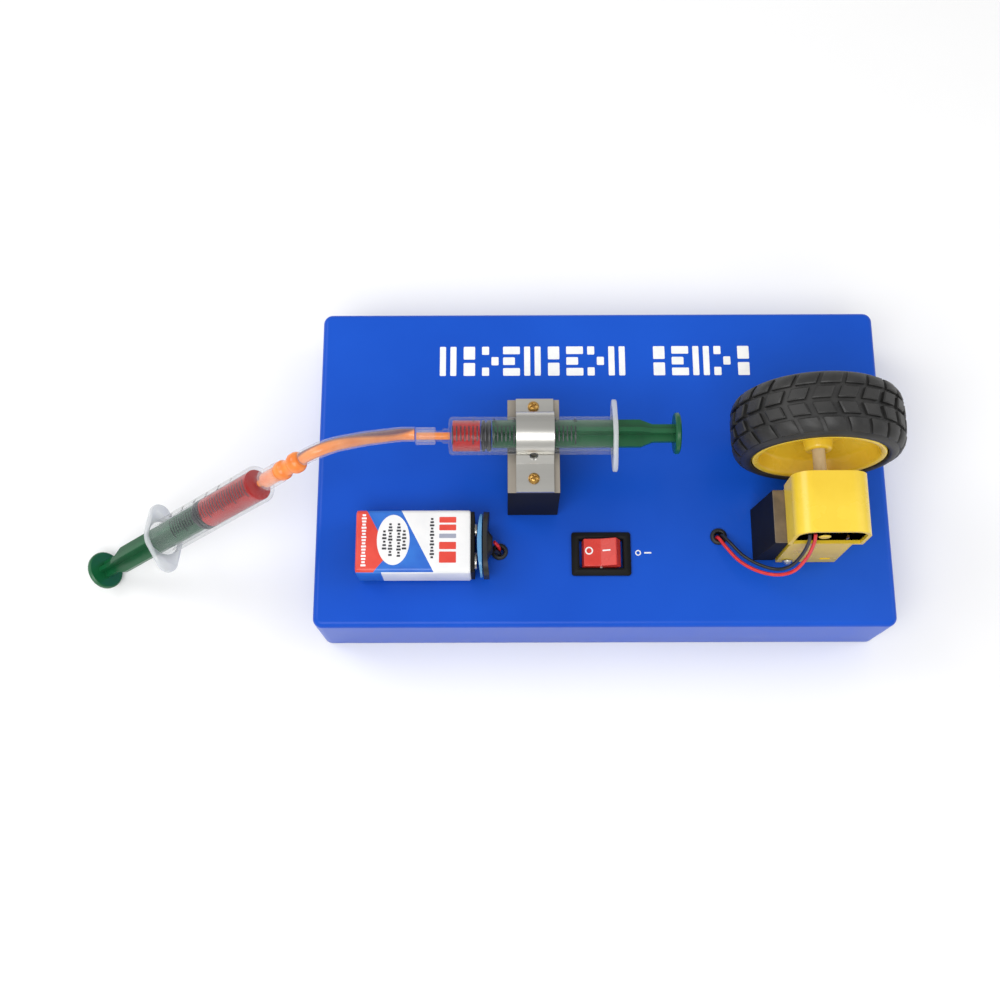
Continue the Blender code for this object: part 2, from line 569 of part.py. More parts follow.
def smooth_route(route_mm, count):
    """Points evenly spread along a Catmull-Rom curve through a route given in millimetres."""
    knots = [Vector(point) * MM for point in route_mm]
    knots = [2 * knots[0] - knots[1]] + knots + [2 * knots[-1] - knots[-2]]
    fine = []
    for index in range(1, len(knots) - 2):
        p0, p1, p2, p3 = knots[index - 1 : index + 3]
        for step in range(24):
            t = step / 24
            fine.append(0.5 * (2 * p1 + (p2 - p0) * t + (2 * p0 - 5 * p1 + 4 * p2 - p3) * t * t
                               + (3 * p1 - p0 - 3 * p2 + p3) * t ** 3))
    fine.append(knots[-2])
    lengths = [0.0]
    for a, b in zip(fine, fine[1:]):
        lengths.append(lengths[-1] + (b - a).length)
    points = []
    place_in_fine = 0
    for number in range(count):
        target = lengths[-1] * number / (count - 1)
        while place_in_fine < len(fine) - 2 and lengths[place_in_fine + 1] < target:
            place_in_fine += 1
        span = lengths[place_in_fine + 1] - lengths[place_in_fine]
        share = (target - lengths[place_in_fine]) / span
        points.append(fine[place_in_fine].lerp(fine[place_in_fine + 1], min(max(share, 0), 1)))
    return points


def tube_object(name, material, route_mm, radius, count, resolution=2):
    curve = bpy.data.curves.new(name, "CURVE")
    curve.dimensions = "3D"
    curve.bevel_depth = radius
    curve.bevel_resolution = resolution
    curve.use_fill_caps = True
    points = smooth_route(route_mm, count)
    spline = curve.splines.new("POLY")
    spline.points.add(len(points) - 1)
    for spline_point, point in zip(spline.points, points):
        spline_point.co = (*point, 1)
    curve.materials.append(material)
    obj = bpy.data.objects.new(name, curve)
    bpy.context.collection.objects.link(obj)
    return obj


def build_wheel(materials):
    centre = (WHEEL_X, WHEEL_Y, AXIS_HEIGHT)
    half = TYRE_WIDTH / 2
    bore = SHAFT_RADIUS + RUNNING_FIT
    lip = half - 0.5 * MM
    profile = [
        (bore, -9.5 * MM), (5.2 * MM, -9.5 * MM), (6.4 * MM, -3.2 * MM), (14 * MM, -2.2 * MM),
        (22.6 * MM, -6.0 * MM), (23.8 * MM, -lip), (RIM_SEAT - GAP, -lip), (RIM_SEAT - GAP, lip),
        (23.8 * MM, lip), (22.8 * MM, -3.4 * MM), (14 * MM, 0.4 * MM), (6.4 * MM, 0.8 * MM),
        (5.2 * MM, 5.8 * MM), (bore, 5.8 * MM),
    ]
    rim = lathe_object("wheel_rim", materials["yellow"], profile, centre, "Y", steps=40)
    place(rim, centre)

    shoulder = TYRE_RADIUS - 2.2 * MM
    profile = [
        (RIM_SEAT, -half), (shoulder - 2 * MM, -half), (shoulder, -half + 1.2 * MM),
        (TYRE_RADIUS - TREAD_DEPTH, -half + 4 * MM), (TYRE_RADIUS, -half + 4.2 * MM),
        (TYRE_RADIUS, half - 4.2 * MM), (TYRE_RADIUS - TREAD_DEPTH, half - 4 * MM),
        (shoulder, half - 1.2 * MM), (shoulder - 2 * MM, half), (RIM_SEAT, half),
    ]
    tyre = lathe_object("tyre", materials["tyre"], profile, centre, "Y", steps=2 * TREAD_PITCHES)
    grooves = bmesh.new()
    groove_half = 0.8 * MM
    for number in range(TREAD_PITCHES):
        turn = Matrix.Rotation(2 * math.pi * (number + 0.25) / TREAD_PITCHES, 4, "Y")
        before = set(grooves.verts)
        top = TYRE_RADIUS + 2 * MM
        add_prism(grooves, box_outline((-groove_half, -half - 1 * MM), (groove_half, half + 1 * MM)),
                  TYRE_RADIUS - 0.75 * TREAD_DEPTH, top)
        made = [vert for vert in grooves.verts if vert not in before]
        bmesh.ops.transform(grooves, matrix=Matrix.Translation(centre) @ turn, verts=made)
    combine(tyre, make_object("tread_cutter", grooves, None), "DIFFERENCE")
    place(tyre, centre)

    screw_face = WHEEL_Y + 5.8 * MM + GAP
    screw = round_head_screw("wheel_screw", materials["steel"], (WHEEL_X, screw_face, AXIS_HEIGHT), "Y",
                             4 * MM, 1.8 * MM, 1.1 * MM, 6 * MM)
    place(screw, (WHEEL_X, screw_face, AXIS_HEIGHT))


def involute(radius, base):
    """The polar angle of an involute of a base circle, at a radius."""
    roll = math.sqrt(max((radius / base) ** 2 - 1, 0))
    return roll - math.atan(roll)


def gear_outline(teeth, module, centre, phase):
    """A spur gear's outline with slim involute teeth, a tooth's middle at the phase angle."""
    pitch = module * teeth / 2
    base = pitch * math.cos(math.radians(20))
    tip, root = pitch + 0.8 * module, pitch - 1.15 * module
    half_at_pitch = 0.39 * math.pi / teeth
    points = []
    for number in range(teeth):
        middle = phase + 2 * math.pi * number / teeth
        flank = []
        for radius in (max(base, root), pitch, tip):
            flank.append((radius, half_at_pitch + involute(pitch, base) - involute(radius, base)))
        foot = (root, min(flank[0][1] * 1.05, 0.75 * math.pi / teeth))
        side = [foot] + flank
        for radius, half in side:
            points.append((radius, middle - half))
        for radius, half in reversed(side):
            points.append((radius, middle + half))
    return [(centre[0] + r * math.cos(a), centre[1] + r * math.sin(a)) for r, a in points]


def case_outline(inset):
    """The gear motor's case seen along Y: an upright box with a wider boot, round on top."""
    left, right = CASE_LEFT + inset, CASE_RIGHT - inset
    boot_left, boot_right = BOOT_LEFT + inset, BOOT_RIGHT - inset
    step = TOP + CASE_SHOULDER + inset
    top = TOP + CASE_TOP - inset
    corner = BOOT_CORNER - inset
    floor = TOP + GAP + inset
    points = [(left, floor), (right, floor), (right, step), (boot_right, step)]
    points += arc_points(boot_right - corner, top - corner, corner, 0, 90, 6)
    points += arc_points(boot_left + corner, top - corner, corner, 90, 180, 6)
    return points + [(boot_left, step), (left, step)]


def can_outline(radius, flat):
    """A round motor can with flats at its top and bottom."""
    angle = math.degrees(math.asin(flat / radius))
    right = arc_points(WHEEL_X, AXIS_HEIGHT, radius, -angle, angle, 8)
    return right + arc_points(WHEEL_X, AXIS_HEIGHT, radius, 180 - angle, 180 + angle, 8)


def build_gear_motor(materials):
    cover = prism_object("motor_cover", materials["yellow"], case_outline(0), CASE_FRONT_Y, CASE_BACK_Y, "Y")
    front_wall = CASE_FRONT_Y + CASE_WALL
    hollow_y = (front_wall, CASE_BACK_Y + 1.5 * MM)
    hollow = prism_object("motor_cover_hollow_cutter", None, case_outline(CASE_WALL), *hollow_y, "Y")
    combine(cover, hollow, "DIFFERENCE")
    window_low = TOP + CASE_SHOULDER + 1.6 * MM
    corner = BOOT_CORNER - CASE_WALL
    top = TOP + CASE_TOP - CASE_WALL - 0.05 * MM
    left, right = BOOT_LEFT + CASE_WALL + 0.05 * MM, BOOT_RIGHT - CASE_WALL - 0.05 * MM
    outline = [(left, window_low), (right, window_low)]
    outline += arc_points(right - corner, top - corner, corner, 0, 90, 6)
    outline += arc_points(left + corner, top - corner, corner, 90, 180, 6)
    window_y = (CASE_FRONT_Y - 1 * MM, front_wall + 1 * MM)
    window = prism_object("motor_cover_window_cutter", None, outline, *window_y, "Y")
    combine(cover, window, "DIFFERENCE")
    case_screw = bmesh.new()
    screw_x, screw_z = CASE_LEFT + 4.2 * MM, TOP + 3.6 * MM
    add_lathe(case_screw, disc_profile(1.2 * MM, *window_y), (screw_x, 0, screw_z), "Y", steps=12)
    combine(cover, make_object("case_screw_cutter", case_screw, None), "DIFFERENCE")
    round_head_screw("case_screw", materials["steel"], (screw_x, CASE_FRONT_Y - GAP, screw_z), "Y",
                     2.1 * MM, 1.3 * MM, 0.85 * MM, 5 * MM, sign=-1)

    inner = case_outline(CASE_WALL + GAP)
    axis_point = (WHEEL_X, 0, AXIS_HEIGHT)
    layshaft_point = (WHEEL_X, 0, LAYSHAFT_Z)
    lid_y = (CASE_BACK_Y - 2 * MM, CASE_BACK_Y - GAP)
    lid = prism_object("gearbox_lid", materials["yellow"], inner, *lid_y, "Y")
    bushing = bmesh.new()
    bore_low = lid_y[0] - 1 * MM
    shaft_bore = disc_profile(SHAFT_RADIUS + RUNNING_FIT, bore_low, CASE_BACK_Y + 1 * MM)
    pin_bore = disc_profile(PIN_RADIUS + GAP, bore_low, CASE_BACK_Y - 1 * MM)
    add_lathe(bushing, shaft_bore, axis_point, "Y", steps=32)
    add_lathe(bushing, pin_bore, layshaft_point, "Y", steps=12)
    combine(lid, make_object("lid_bore_cutter", bushing, None), "DIFFERENCE")

    plate = prism_object("gearbox_plate", materials["yellow"], inner, *PLATE_Y, "Y")
    holes = bmesh.new()
    rotor_hole = disc_profile(1.6 * MM, PLATE_Y[0] - 1 * MM, PLATE_Y[1] + 1 * MM)
    pin_hole = disc_profile(PIN_RADIUS + GAP, PLATE_Y[0] + 0.5 * MM, PLATE_Y[1] + 1 * MM)
    add_lathe(holes, rotor_hole, axis_point, "Y", steps=16)
    add_lathe(holes, pin_hole, layshaft_point, "Y", steps=12)
    combine(plate, make_object("plate_hole_cutter", holes, None), "DIFFERENCE")
    pin = disc_profile(PIN_RADIUS, PLATE_Y[0] + 0.8 * MM, CASE_BACK_Y - 1.3 * MM)
    lathe_object("layshaft_pin", materials["steel"], pin, layshaft_point, "Y", steps=16)
    build_gears(materials, axis_point, layshaft_point)
    build_motor(materials, axis_point)


def build_gears(materials, axis_point, layshaft_point):
    down, up = -math.pi / 2, math.pi / 2
    half_tooth = math.pi / WHEEL_TEETH
    axis_centre = (WHEEL_X, AXIS_HEIGHT)
    layshaft_centre = (WHEEL_X, LAYSHAFT_Z)
    low, high = OUTPUT_GEAR_Y - GEAR_FACE, OUTPUT_GEAR_Y
    outline = gear_outline(WHEEL_TEETH, MODULE, axis_centre, down + half_tooth)
    output = prism_object("output_shaft", materials["white"], outline, low, high, "Y")
    shaft = bmesh.new()
    bore_start = WHEEL_Y - 1 * MM
    profile = [(0, low + 0.4 * MM), (SHAFT_RADIUS, low + 0.4 * MM), (SHAFT_RADIUS, SHAFT_END_Y),
               (1.4 * MM, SHAFT_END_Y), (1.4 * MM, bore_start), (0, bore_start)]
    add_lathe(shaft, profile, axis_point, "Y", steps=32)
    combine(output, make_object("shaft_tool", shaft, None), "UNION")
    place(output, axis_point)

    driven = (DRIVEN_GEAR_Y - GEAR_FACE, DRIVEN_GEAR_Y)
    outline = gear_outline(WHEEL_TEETH, MODULE, layshaft_centre, up + half_tooth)
    compound = prism_object("compound_gear", materials["white"], outline, *driven, "Y")
    small = gear_outline(PINION_TEETH, MODULE, layshaft_centre, up)
    small = prism_object("small_gear_tool", None, small, driven[1] - 0.5 * MM, high, "Y")
    combine(compound, small, "UNION")
    bore = disc_profile(PIN_RADIUS + RUNNING_FIT + 0.01 * MM, driven[0] - 1 * MM, high + 1 * MM)
    bore = lathe_object("compound_bore_cutter", None, bore, layshaft_point, "Y", steps=16)
    combine(compound, bore, "DIFFERENCE")
    place(compound, layshaft_point)


def build_motor(materials, axis_point):
    back, front = CAN_Y[1], CAN_Y[0]
    can = prism_object("motor_can", materials["steel"], can_outline(CAN_RADIUS, CAN_FLAT), front, back, "Y")
    wall = 0.8 * MM
    hollow = can_outline(CAN_RADIUS - wall, CAN_FLAT - wall)
    hollow = prism_object("motor_can_hollow_cutter", None, hollow, front - 1 * MM, back - wall, "Y")
    combine(can, hollow, "DIFFERENCE")
    nose = lathe_object("motor_can_nose_cutter", None, disc_profile(1.3 * MM, back - 2 * wall, back + 1 * MM),
                        axis_point, "Y", steps=16)
    combine(can, nose, "DIFFERENCE")
    cap_y = (front - GAP - 1.3 * MM, front - GAP)
    prism_object("motor_end_cap", materials["yellow"], can_outline(CAN_RADIUS, CAN_FLAT), *cap_y, "Y")

    outline = gear_outline(PINION_TEETH, MODULE, (WHEEL_X, AXIS_HEIGHT), -math.pi / 2)
    pinion_y = (DRIVEN_GEAR_Y - GEAR_FACE, DRIVEN_GEAR_Y + 0.2 * MM)
    rotor = prism_object("motor_rotor", materials["brass"], outline, *pinion_y, "Y")
    spindle_radius, core_radius = 0.9 * MM, 6.4 * MM
    profile = [
        (0, front + 0.6 * MM), (spindle_radius, front + 0.6 * MM), (spindle_radius, front + 1.6 * MM),
        (core_radius, front + 1.6 * MM), (core_radius, back - 2.2 * MM), (spindle_radius, back - 2.2 * MM),
        (spindle_radius, pinion_y[1] - 0.4 * MM), (0, pinion_y[1] - 0.4 * MM),
    ]
    spindle = lathe_object("rotor_tool", None, profile, axis_point, "Y", steps=24)
    combine(rotor, spindle, "UNION")
    place(rotor, axis_point)


def build_motor_block(materials):
    top = TOP + MOTOR_BLOCK_HEIGHT
    outline = [(MOTOR_BLOCK_OUTER, TOP + GAP), (MOTOR_BLOCK_INNER, TOP + GAP),
               (MOTOR_BLOCK_INNER, top), (MOTOR_BLOCK_OUTER_TOP, top)]
    block = prism_object("motor_block", materials["black"], outline, *MOTOR_BLOCK_Y, "Y")
    holes = bmesh.new()
    for name, (x, y) in block_screw_places().items():
        if name.startswith("motor"):
            add_lathe(holes, block_pilot_profile(), (x, y, 0), steps=12)
    combine(block, make_object("motor_block_cutter", holes, None), "DIFFERENCE")


def build_switch(materials):
    bezel_low = TOP + GAP
    bezel_top = bezel_low + BEZEL_HEIGHT
    floor = TOP - 5.6 * MM
    bottom = TOP - SWITCH_DEPTH
    body_x, body_y = SWITCH_BODY[0] / 2, SWITCH_BODY[1] / 2
    centre = (SWITCH_X, SWITCH_Y)
    body_outline = centred_outline(centre, body_x, body_y)
    body = prism_object("switch_body", materials["black"], body_outline, bottom, bezel_top - 0.5 * MM)
    bezel = bmesh.new()
    half_x, half_y = BEZEL_SIZE[0] / 2, BEZEL_SIZE[1] / 2
    corner = 1.2 * MM
    add_prism(bezel, centred_outline(centre, half_x, half_y, corner), bezel_low, bezel_top)
    rim = [edge for edge in bezel.edges if all(abs(v.co.z - bezel_top) < 0.01 * MM for v in edge.verts)]
    bmesh.ops.bevel(bezel, geom=rim, offset=1.1 * MM, segments=2, affect="EDGES", profile=0.5)
    combine(body, make_object("switch_bezel_tool", bezel, None), "UNION")
    open_x, open_y = SWITCH_OPENING[0] / 2, SWITCH_OPENING[1] / 2
    well = bmesh.new()
    add_prism(well, centred_outline(centre, open_x, open_y), floor, bezel_top + 1 * MM)
    combine(body, make_object("switch_well_cutter", well, None), "DIFFERENCE")
    pivot = (SWITCH_X, SWITCH_Y, ROCKER_PIVOT_Z)
    pin_hole_end = open_y + 0.55 * MM
    pin_hole = disc_profile(ROCKER_BORE, -pin_hole_end, pin_hole_end)
    pin_hole = lathe_object("switch_pin_cutter", None, pin_hole, pivot, "Y", steps=16)
    combine(body, pin_hole, "DIFFERENCE")

    half = open_y - GAP - 0.1 * MM
    outline = [(-8 * MM, 4.4 * MM), (-8.1 * MM, 0), (-4.5 * MM, -3.2 * MM), (0, -4.2 * MM),
               (4.5 * MM, -3.2 * MM), (8.1 * MM, 0), (8 * MM, 4.4 * MM)]
    outline += [(7.2 * MM, 4.5 * MM), (0, 2.7 * MM), (-7.2 * MM, 4.5 * MM)]
    tilt = Matrix.Translation(pivot) @ Matrix.Rotation(-ROCKER_TILT, 4, "Y")
    rocker = prism_object("switch_rocker", materials["red"], outline, -half, half, "Y", tilt)
    rocker_bore = disc_profile(ROCKER_BORE, -half - 1 * MM, half + 1 * MM)
    rocker_bore = lathe_object("rocker_bore_cutter", None, rocker_bore, axis="Y", steps=16, matrix=tilt)
    combine(rocker, rocker_bore, "DIFFERENCE")
    pin = disc_profile(ROCKER_BORE - RUNNING_FIT, -open_y - 0.4 * MM, open_y + 0.4 * MM)
    lathe_object("rocker_pin", materials["steel"], pin, pivot, "Y", steps=16)

    blade_half, blade_thick = 2.4 * MM, 0.4 * MM
    for number, x in enumerate((SWITCH_X - TERMINAL_X, SWITCH_X + TERMINAL_X), start=1):
        outline = centred_outline((x, SWITCH_Y), blade_thick, blade_half)
        blade_z = (bottom - 4.5 * MM, bottom - GAP)
        prism_object(f"switch_terminal_{number}", materials["brass"], outline, *blade_z)


def build_battery(materials):
    low, high = BATTERY_LOW, BATTERY_LOW + BATTERY_SIZE
    outline = rounded_outline((low.y, low.z), (high.y, high.z), 2 * MM, 3)
    prism_object("battery", materials["battery"], outline, low.x, high.x, "X")
    tape = box_outline((low.x + 3 * MM, low.y + 3 * MM), (high.x - 3 * MM, high.y - 3 * MM))
    prism_object("battery_tape", materials["white"], tape, TOP + GAP, low.z - GAP)
    middle = (low + high) / 2
    face = high.x + GAP
    studs = {"battery_stud": (1, 2.8 * MM), "battery_socket": (-1, 3.6 * MM)}
    for name, (side, radius) in studs.items():
        centre = (face, middle.y + side * TERMINAL_SPACING / 2, middle.z)
        lathe_object(name, materials["steel"], disc_profile(radius, 0, 1.9 * MM), centre, "X", steps=20)

    start = face + 1.9 * MM + GAP
    plate_high = start + SNAP_THICKNESS[0]
    half_y, half_z = 12.9 * MM, 7.6 * MM
    outline = centred_outline((middle.y, middle.z), half_y, half_z, 6 * MM, 5)
    prism_object("snap_plate", materials["clear"], outline, start, plate_high, "X")
    cover_low = plate_high + GAP
    cover_high = cover_low + SNAP_THICKNESS[1]
    outline = centred_outline((middle.y, middle.z), half_y + 0.6 * MM, half_z + 0.6 * MM, 6.6 * MM, 5)
    cover = prism_object("snap_cover", materials["black"], outline, cover_low, cover_high, "X")
    boot_low, boot_high = (middle.y - 4.6 * MM, middle.z - 4.6 * MM), (middle.y + 6 * MM, middle.z + 2.6 * MM)
    boot = rounded_outline(boot_low, boot_high, 1.5 * MM, 3)
    boot = prism_object("snap_boot_tool", None, boot, cover_low + 1 * MM, SNAP_BOOT_END_X, "X")
    combine(cover, boot, "UNION")


def build_grommets(materials):
    neck, flange, bore = GROMMET_HOLE, 3.5 * MM, 1.9 * MM
    low = TOP - BASE_WALL - 0.6 * MM
    profile = [(bore, low), (neck, low), (neck, TOP + GAP), (flange, TOP + GAP), (flange, TOP + 1.1 * MM),
               (flange - 0.6 * MM, TOP + 1.6 * MM), (bore, TOP + 1.6 * MM)]
    for name, (x, y) in (("battery_grommet", BATTERY_GROMMET), ("motor_grommet", MOTOR_GROMMET)):
        lathe_object(name, materials["rubber"], profile, (x, y, 0), steps=20)


def build_leads(materials):
    red, black = materials["wire_red"], materials["wire_black"]
    tube_object("battery_lead_red", red, BATTERY_RED_MM, LEAD_RADIUS, 22)
    tube_object("battery_lead_black", black, BATTERY_BLACK_MM, LEAD_RADIUS, 36)
    tube_object("switch_lead_red", red, SWITCH_RED_MM, LEAD_RADIUS, 24)
    tube_object("motor_lead_red", red, MOTOR_RED_MM, LEAD_RADIUS, 26)
    tube_object("motor_lead_black", black, MOTOR_BLACK_MM, LEAD_RADIUS, 26)


def main():
    clear_scene()
    materials = make_materials()
    slave = syringe_matrix(SLAVE_SHOULDER, SLAVE_DIRECTION)
    master = syringe_matrix(MASTER_SHOULDER, MASTER_DIRECTION)
    build_base(materials)
    build_bottom_cover(materials)
    build_block_screws(materials)
    build_clamp(materials)
    build_syringe("slave", slave, SLAVE_FLUID, 12 * MM, materials)
    build_syringe("master", master, MASTER_FLUID, 11 * MM, materials)
    build_hose(materials, slave, master)
    build_wheel(materials)
    build_gear_motor(materials)
    build_motor_block(materials)
    build_switch(materials)
    build_battery(materials)
    build_grommets(materials)
    build_leads(materials)


main()
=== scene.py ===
"""Looks of the hydraulic brake demonstrator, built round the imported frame. Lengths are in metres, +Z up."""

import json
import math

import bmesh
import bpy
from mathutils import Matrix, Vector

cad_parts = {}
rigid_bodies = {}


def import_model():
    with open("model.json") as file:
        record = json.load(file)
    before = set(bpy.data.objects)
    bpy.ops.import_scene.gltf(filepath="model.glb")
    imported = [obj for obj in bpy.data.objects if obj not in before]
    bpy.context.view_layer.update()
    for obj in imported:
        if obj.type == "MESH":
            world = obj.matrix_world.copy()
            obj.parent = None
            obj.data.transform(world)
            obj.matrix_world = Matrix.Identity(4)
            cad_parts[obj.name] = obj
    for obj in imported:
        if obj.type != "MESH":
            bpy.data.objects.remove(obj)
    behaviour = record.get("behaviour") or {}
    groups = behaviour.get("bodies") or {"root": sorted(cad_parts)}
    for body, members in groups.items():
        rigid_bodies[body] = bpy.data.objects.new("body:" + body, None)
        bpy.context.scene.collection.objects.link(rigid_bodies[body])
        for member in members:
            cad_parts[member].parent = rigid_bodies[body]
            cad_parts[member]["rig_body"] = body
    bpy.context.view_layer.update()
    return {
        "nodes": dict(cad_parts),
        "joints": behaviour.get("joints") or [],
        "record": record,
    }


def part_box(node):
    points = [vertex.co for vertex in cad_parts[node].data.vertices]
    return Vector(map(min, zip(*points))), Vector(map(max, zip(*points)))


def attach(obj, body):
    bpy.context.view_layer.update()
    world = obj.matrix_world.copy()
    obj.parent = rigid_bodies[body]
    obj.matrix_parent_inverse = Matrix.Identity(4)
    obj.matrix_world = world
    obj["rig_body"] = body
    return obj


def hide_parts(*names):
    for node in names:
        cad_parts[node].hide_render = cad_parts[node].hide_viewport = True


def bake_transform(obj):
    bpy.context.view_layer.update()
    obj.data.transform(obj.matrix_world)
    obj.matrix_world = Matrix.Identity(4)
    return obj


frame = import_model()

MM = 0.001
JOINTS = {joint["name"]: joint for joint in frame["joints"]}
SLOT_OF_NODE = {part["node"]: part["material_slot"] for part in frame["record"]["subparts"]}

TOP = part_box("base_shell")[1].z
AXIS_HEIGHT = JOINTS["wheel_spin"]["pos_m"][2]
BASE_CORNER = 4 * MM
BASE_FILLET = 2.6 * MM
BASE_WALL = 3 * MM
GROMMET_HOLE = 2.9 * MM
SWITCH_CUT = (10.8 * MM, 7.6 * MM)
GAP = 0.3 * MM
CUT_MARGIN = 1 * MM
PRINT_LIFT = 0.02 * MM
ON_AXIS = 0.001 * MM
SMOOTH_ANGLE = 38

BARREL_LENGTH = 66.6 * MM
BARREL_RADIUS = 7.6 * MM
BORE_RADIUS = 6.3 * MM
FLANGE_THICKNESS = 2 * MM
FLANGE_SPAN = 29.8 * MM
FLANGE_WING_RADIUS = 5 * MM
FLANGE_MIDDLE_RADIUS = 9 * MM
TIP_RADIUS = 2.2 * MM
SEAL_LENGTH = 4.4 * MM
FLUIDS = {"slave": 12.4 * MM, "master": 32.7 * MM}
TIP_LENGTHS = {"slave": 12 * MM, "master": 11 * MM}

TYRE_RADIUS = 34 * MM
RIM_SEAT = 26.5 * MM
TREAD_PITCHES = 22
TREAD_DEPTH = 1.6 * MM
TREAD_LEAN = 0.42

STRAP_SHEET = 1 * MM
STRAP_HOLE = 1.75 * MM
STRAP_SLOT = 1.8 * MM
CASE_WALL = 1.4 * MM
CASE_CORNER = 7.5 * MM

STEPS_PER_SPAN = 24
HOSE_RADIUS = 3 * MM
LEAD_RADIUS = 0.7 * MM
HOSE_ROUTE = (
    (-0.1170, -0.0158, 0.0968), (-0.1146, -0.0152, 0.0987), (-0.1114, -0.0142, 0.1001),
    (-0.1076, -0.0126, 0.1000), (-0.1034, -0.0104, 0.0976), (-0.0990, -0.0079, 0.0932),
    (-0.0946, -0.0052, 0.0881), (-0.0902, -0.0028, 0.0830), (-0.0860, -0.0008, 0.0788),
    (-0.0824, 0.0005, 0.0763), (-0.0794, 0.00095, 0.07515), (-0.0765, 0.0010, 0.0750),
)
MOTOR_RED_ROUTE = (
    (0.0473, -0.0323, 0.0348), (0.0473, -0.0323, 0.0382), (0.0477, -0.0331, 0.0408),
    (0.0504, -0.0380, 0.0434), (0.0550, -0.0440, 0.0455), (0.0613, -0.0487, 0.0484),
    (0.0685, -0.0512, 0.0518), (0.0743, -0.0508, 0.0572), (0.0776, -0.0476, 0.0658),
    (0.0784, -0.0448, 0.0744), (0.0783, -0.0430, 0.0788), (0.0782, -0.0417, 0.0804),
)
MOTOR_BLACK_ROUTE = (
    (0.0487, -0.0315, 0.0348), (0.0487, -0.0315, 0.0382), (0.0494, -0.0322, 0.0409),
    (0.0522, -0.0362, 0.0436), (0.0563, -0.0416, 0.0458), (0.0622, -0.0462, 0.0486),
    (0.0686, -0.0490, 0.0522), (0.0732, -0.0488, 0.0578), (0.0758, -0.0464, 0.0662),
    (0.0764, -0.0443, 0.0744), (0.0762, -0.0429, 0.0788), (0.0760, -0.0417, 0.0804),
)

AXES = {
    "X": Matrix(((0, 0, 1), (1, 0, 0), (0, 1, 0))),
    "Y": Matrix(((1, 0, 0), (0, 0, 1), (0, 1, 0))),
    "Z": Matrix.Identity(3),
}


# Camera and stage


def build_camera():
    azimuth, elevation, roll = math.radians(0.82), math.radians(73.96), math.radians(-0.96)
    target = Vector((-0.04287, -0.01559, TOP))
    distance = 0.54892
    back = Vector((
        math.sin(azimuth) * math.cos(elevation),
        -math.cos(azimuth) * math.cos(elevation),
        math.sin(elevation),
    ))
    level = Vector((math.cos(azimuth), math.sin(azimuth), 0))
    upward = level.cross(-back)
    right = level * math.cos(roll) + upward * math.sin(roll)
    up = upward * math.cos(roll) - level * math.sin(roll)
    matrix = Matrix((right, up, back)).transposed().to_4x4()
    matrix.translation = target + back * distance
    data = bpy.data.cameras.new("camera")
    data.sensor_width = 36
    data.lens = 47.04
    data.clip_start = 0.01
    camera = bpy.data.objects.new("camera", data)
    camera.matrix_world = matrix
    bpy.context.scene.collection.objects.link(camera)
    bpy.context.scene.camera = camera


def add_area_light(name, place, target, size, power):
    data = bpy.data.lights.new(name, "AREA")
    data.shape = "RECTANGLE"
    data.size, data.size_y = size
    data.energy = power
    light = bpy.data.objects.new(name, data)
    light.location = place
    light.rotation_mode = "QUATERNION"
    light.rotation_quaternion = (Vector(target) - Vector(place)).to_track_quat("-Z", "Y")
    bpy.context.scene.collection.objects.link(light)


def build_stage(look):
    world = bpy.data.worlds.new("studio")
    world.use_nodes = True
    background = world.node_tree.nodes["Background"]
    background.inputs["Color"].default_value = (1, 1, 1, 1)
    background.inputs["Strength"].default_value = 0.58
    bpy.context.scene.world = world
    bpy.context.scene.view_settings.view_transform = "Standard"
    add_area_light("softbox_front", (-0.25, -0.55, 1.05), (-0.03, 0, 0.03), (0.9, 0.6), 7.2)
    add_area_light("softbox_left", (-0.8, 0.35, 0.85), (-0.05, 0, 0.05), (0.5, 0.7), 3.2)
    add_area_light("strip_right", (0.75, 0.05, 0.75), (0.05, 0, 0.06), (0.25, 0.9), 1.4)
    mesh_data = bmesh.new()
    bmesh.ops.create_grid(mesh_data, x_segments=12, y_segments=12, size=3)
    mesh = bpy.data.meshes.new("floor")
    mesh_data.to_mesh(mesh)
    mesh_data.free()
    mesh.materials.append(look)
    floor = bpy.data.objects.new("floor", mesh)
    floor.location.z = -0.5 * MM
    bpy.context.scene.collection.objects.link(floor)


# Materials


def add_node(material, kind, sources=(), values=()):
    """Adds a shader node, fed by the given sockets and set to the given values."""
    tree = material.node_tree
    node = tree.nodes.new(f"ShaderNode{kind}")
    for name, socket in dict(sources).items():
        tree.links.new(socket, node.inputs[name])
    for name, value in dict(values).items():
        node.inputs[name].default_value = value
    return node


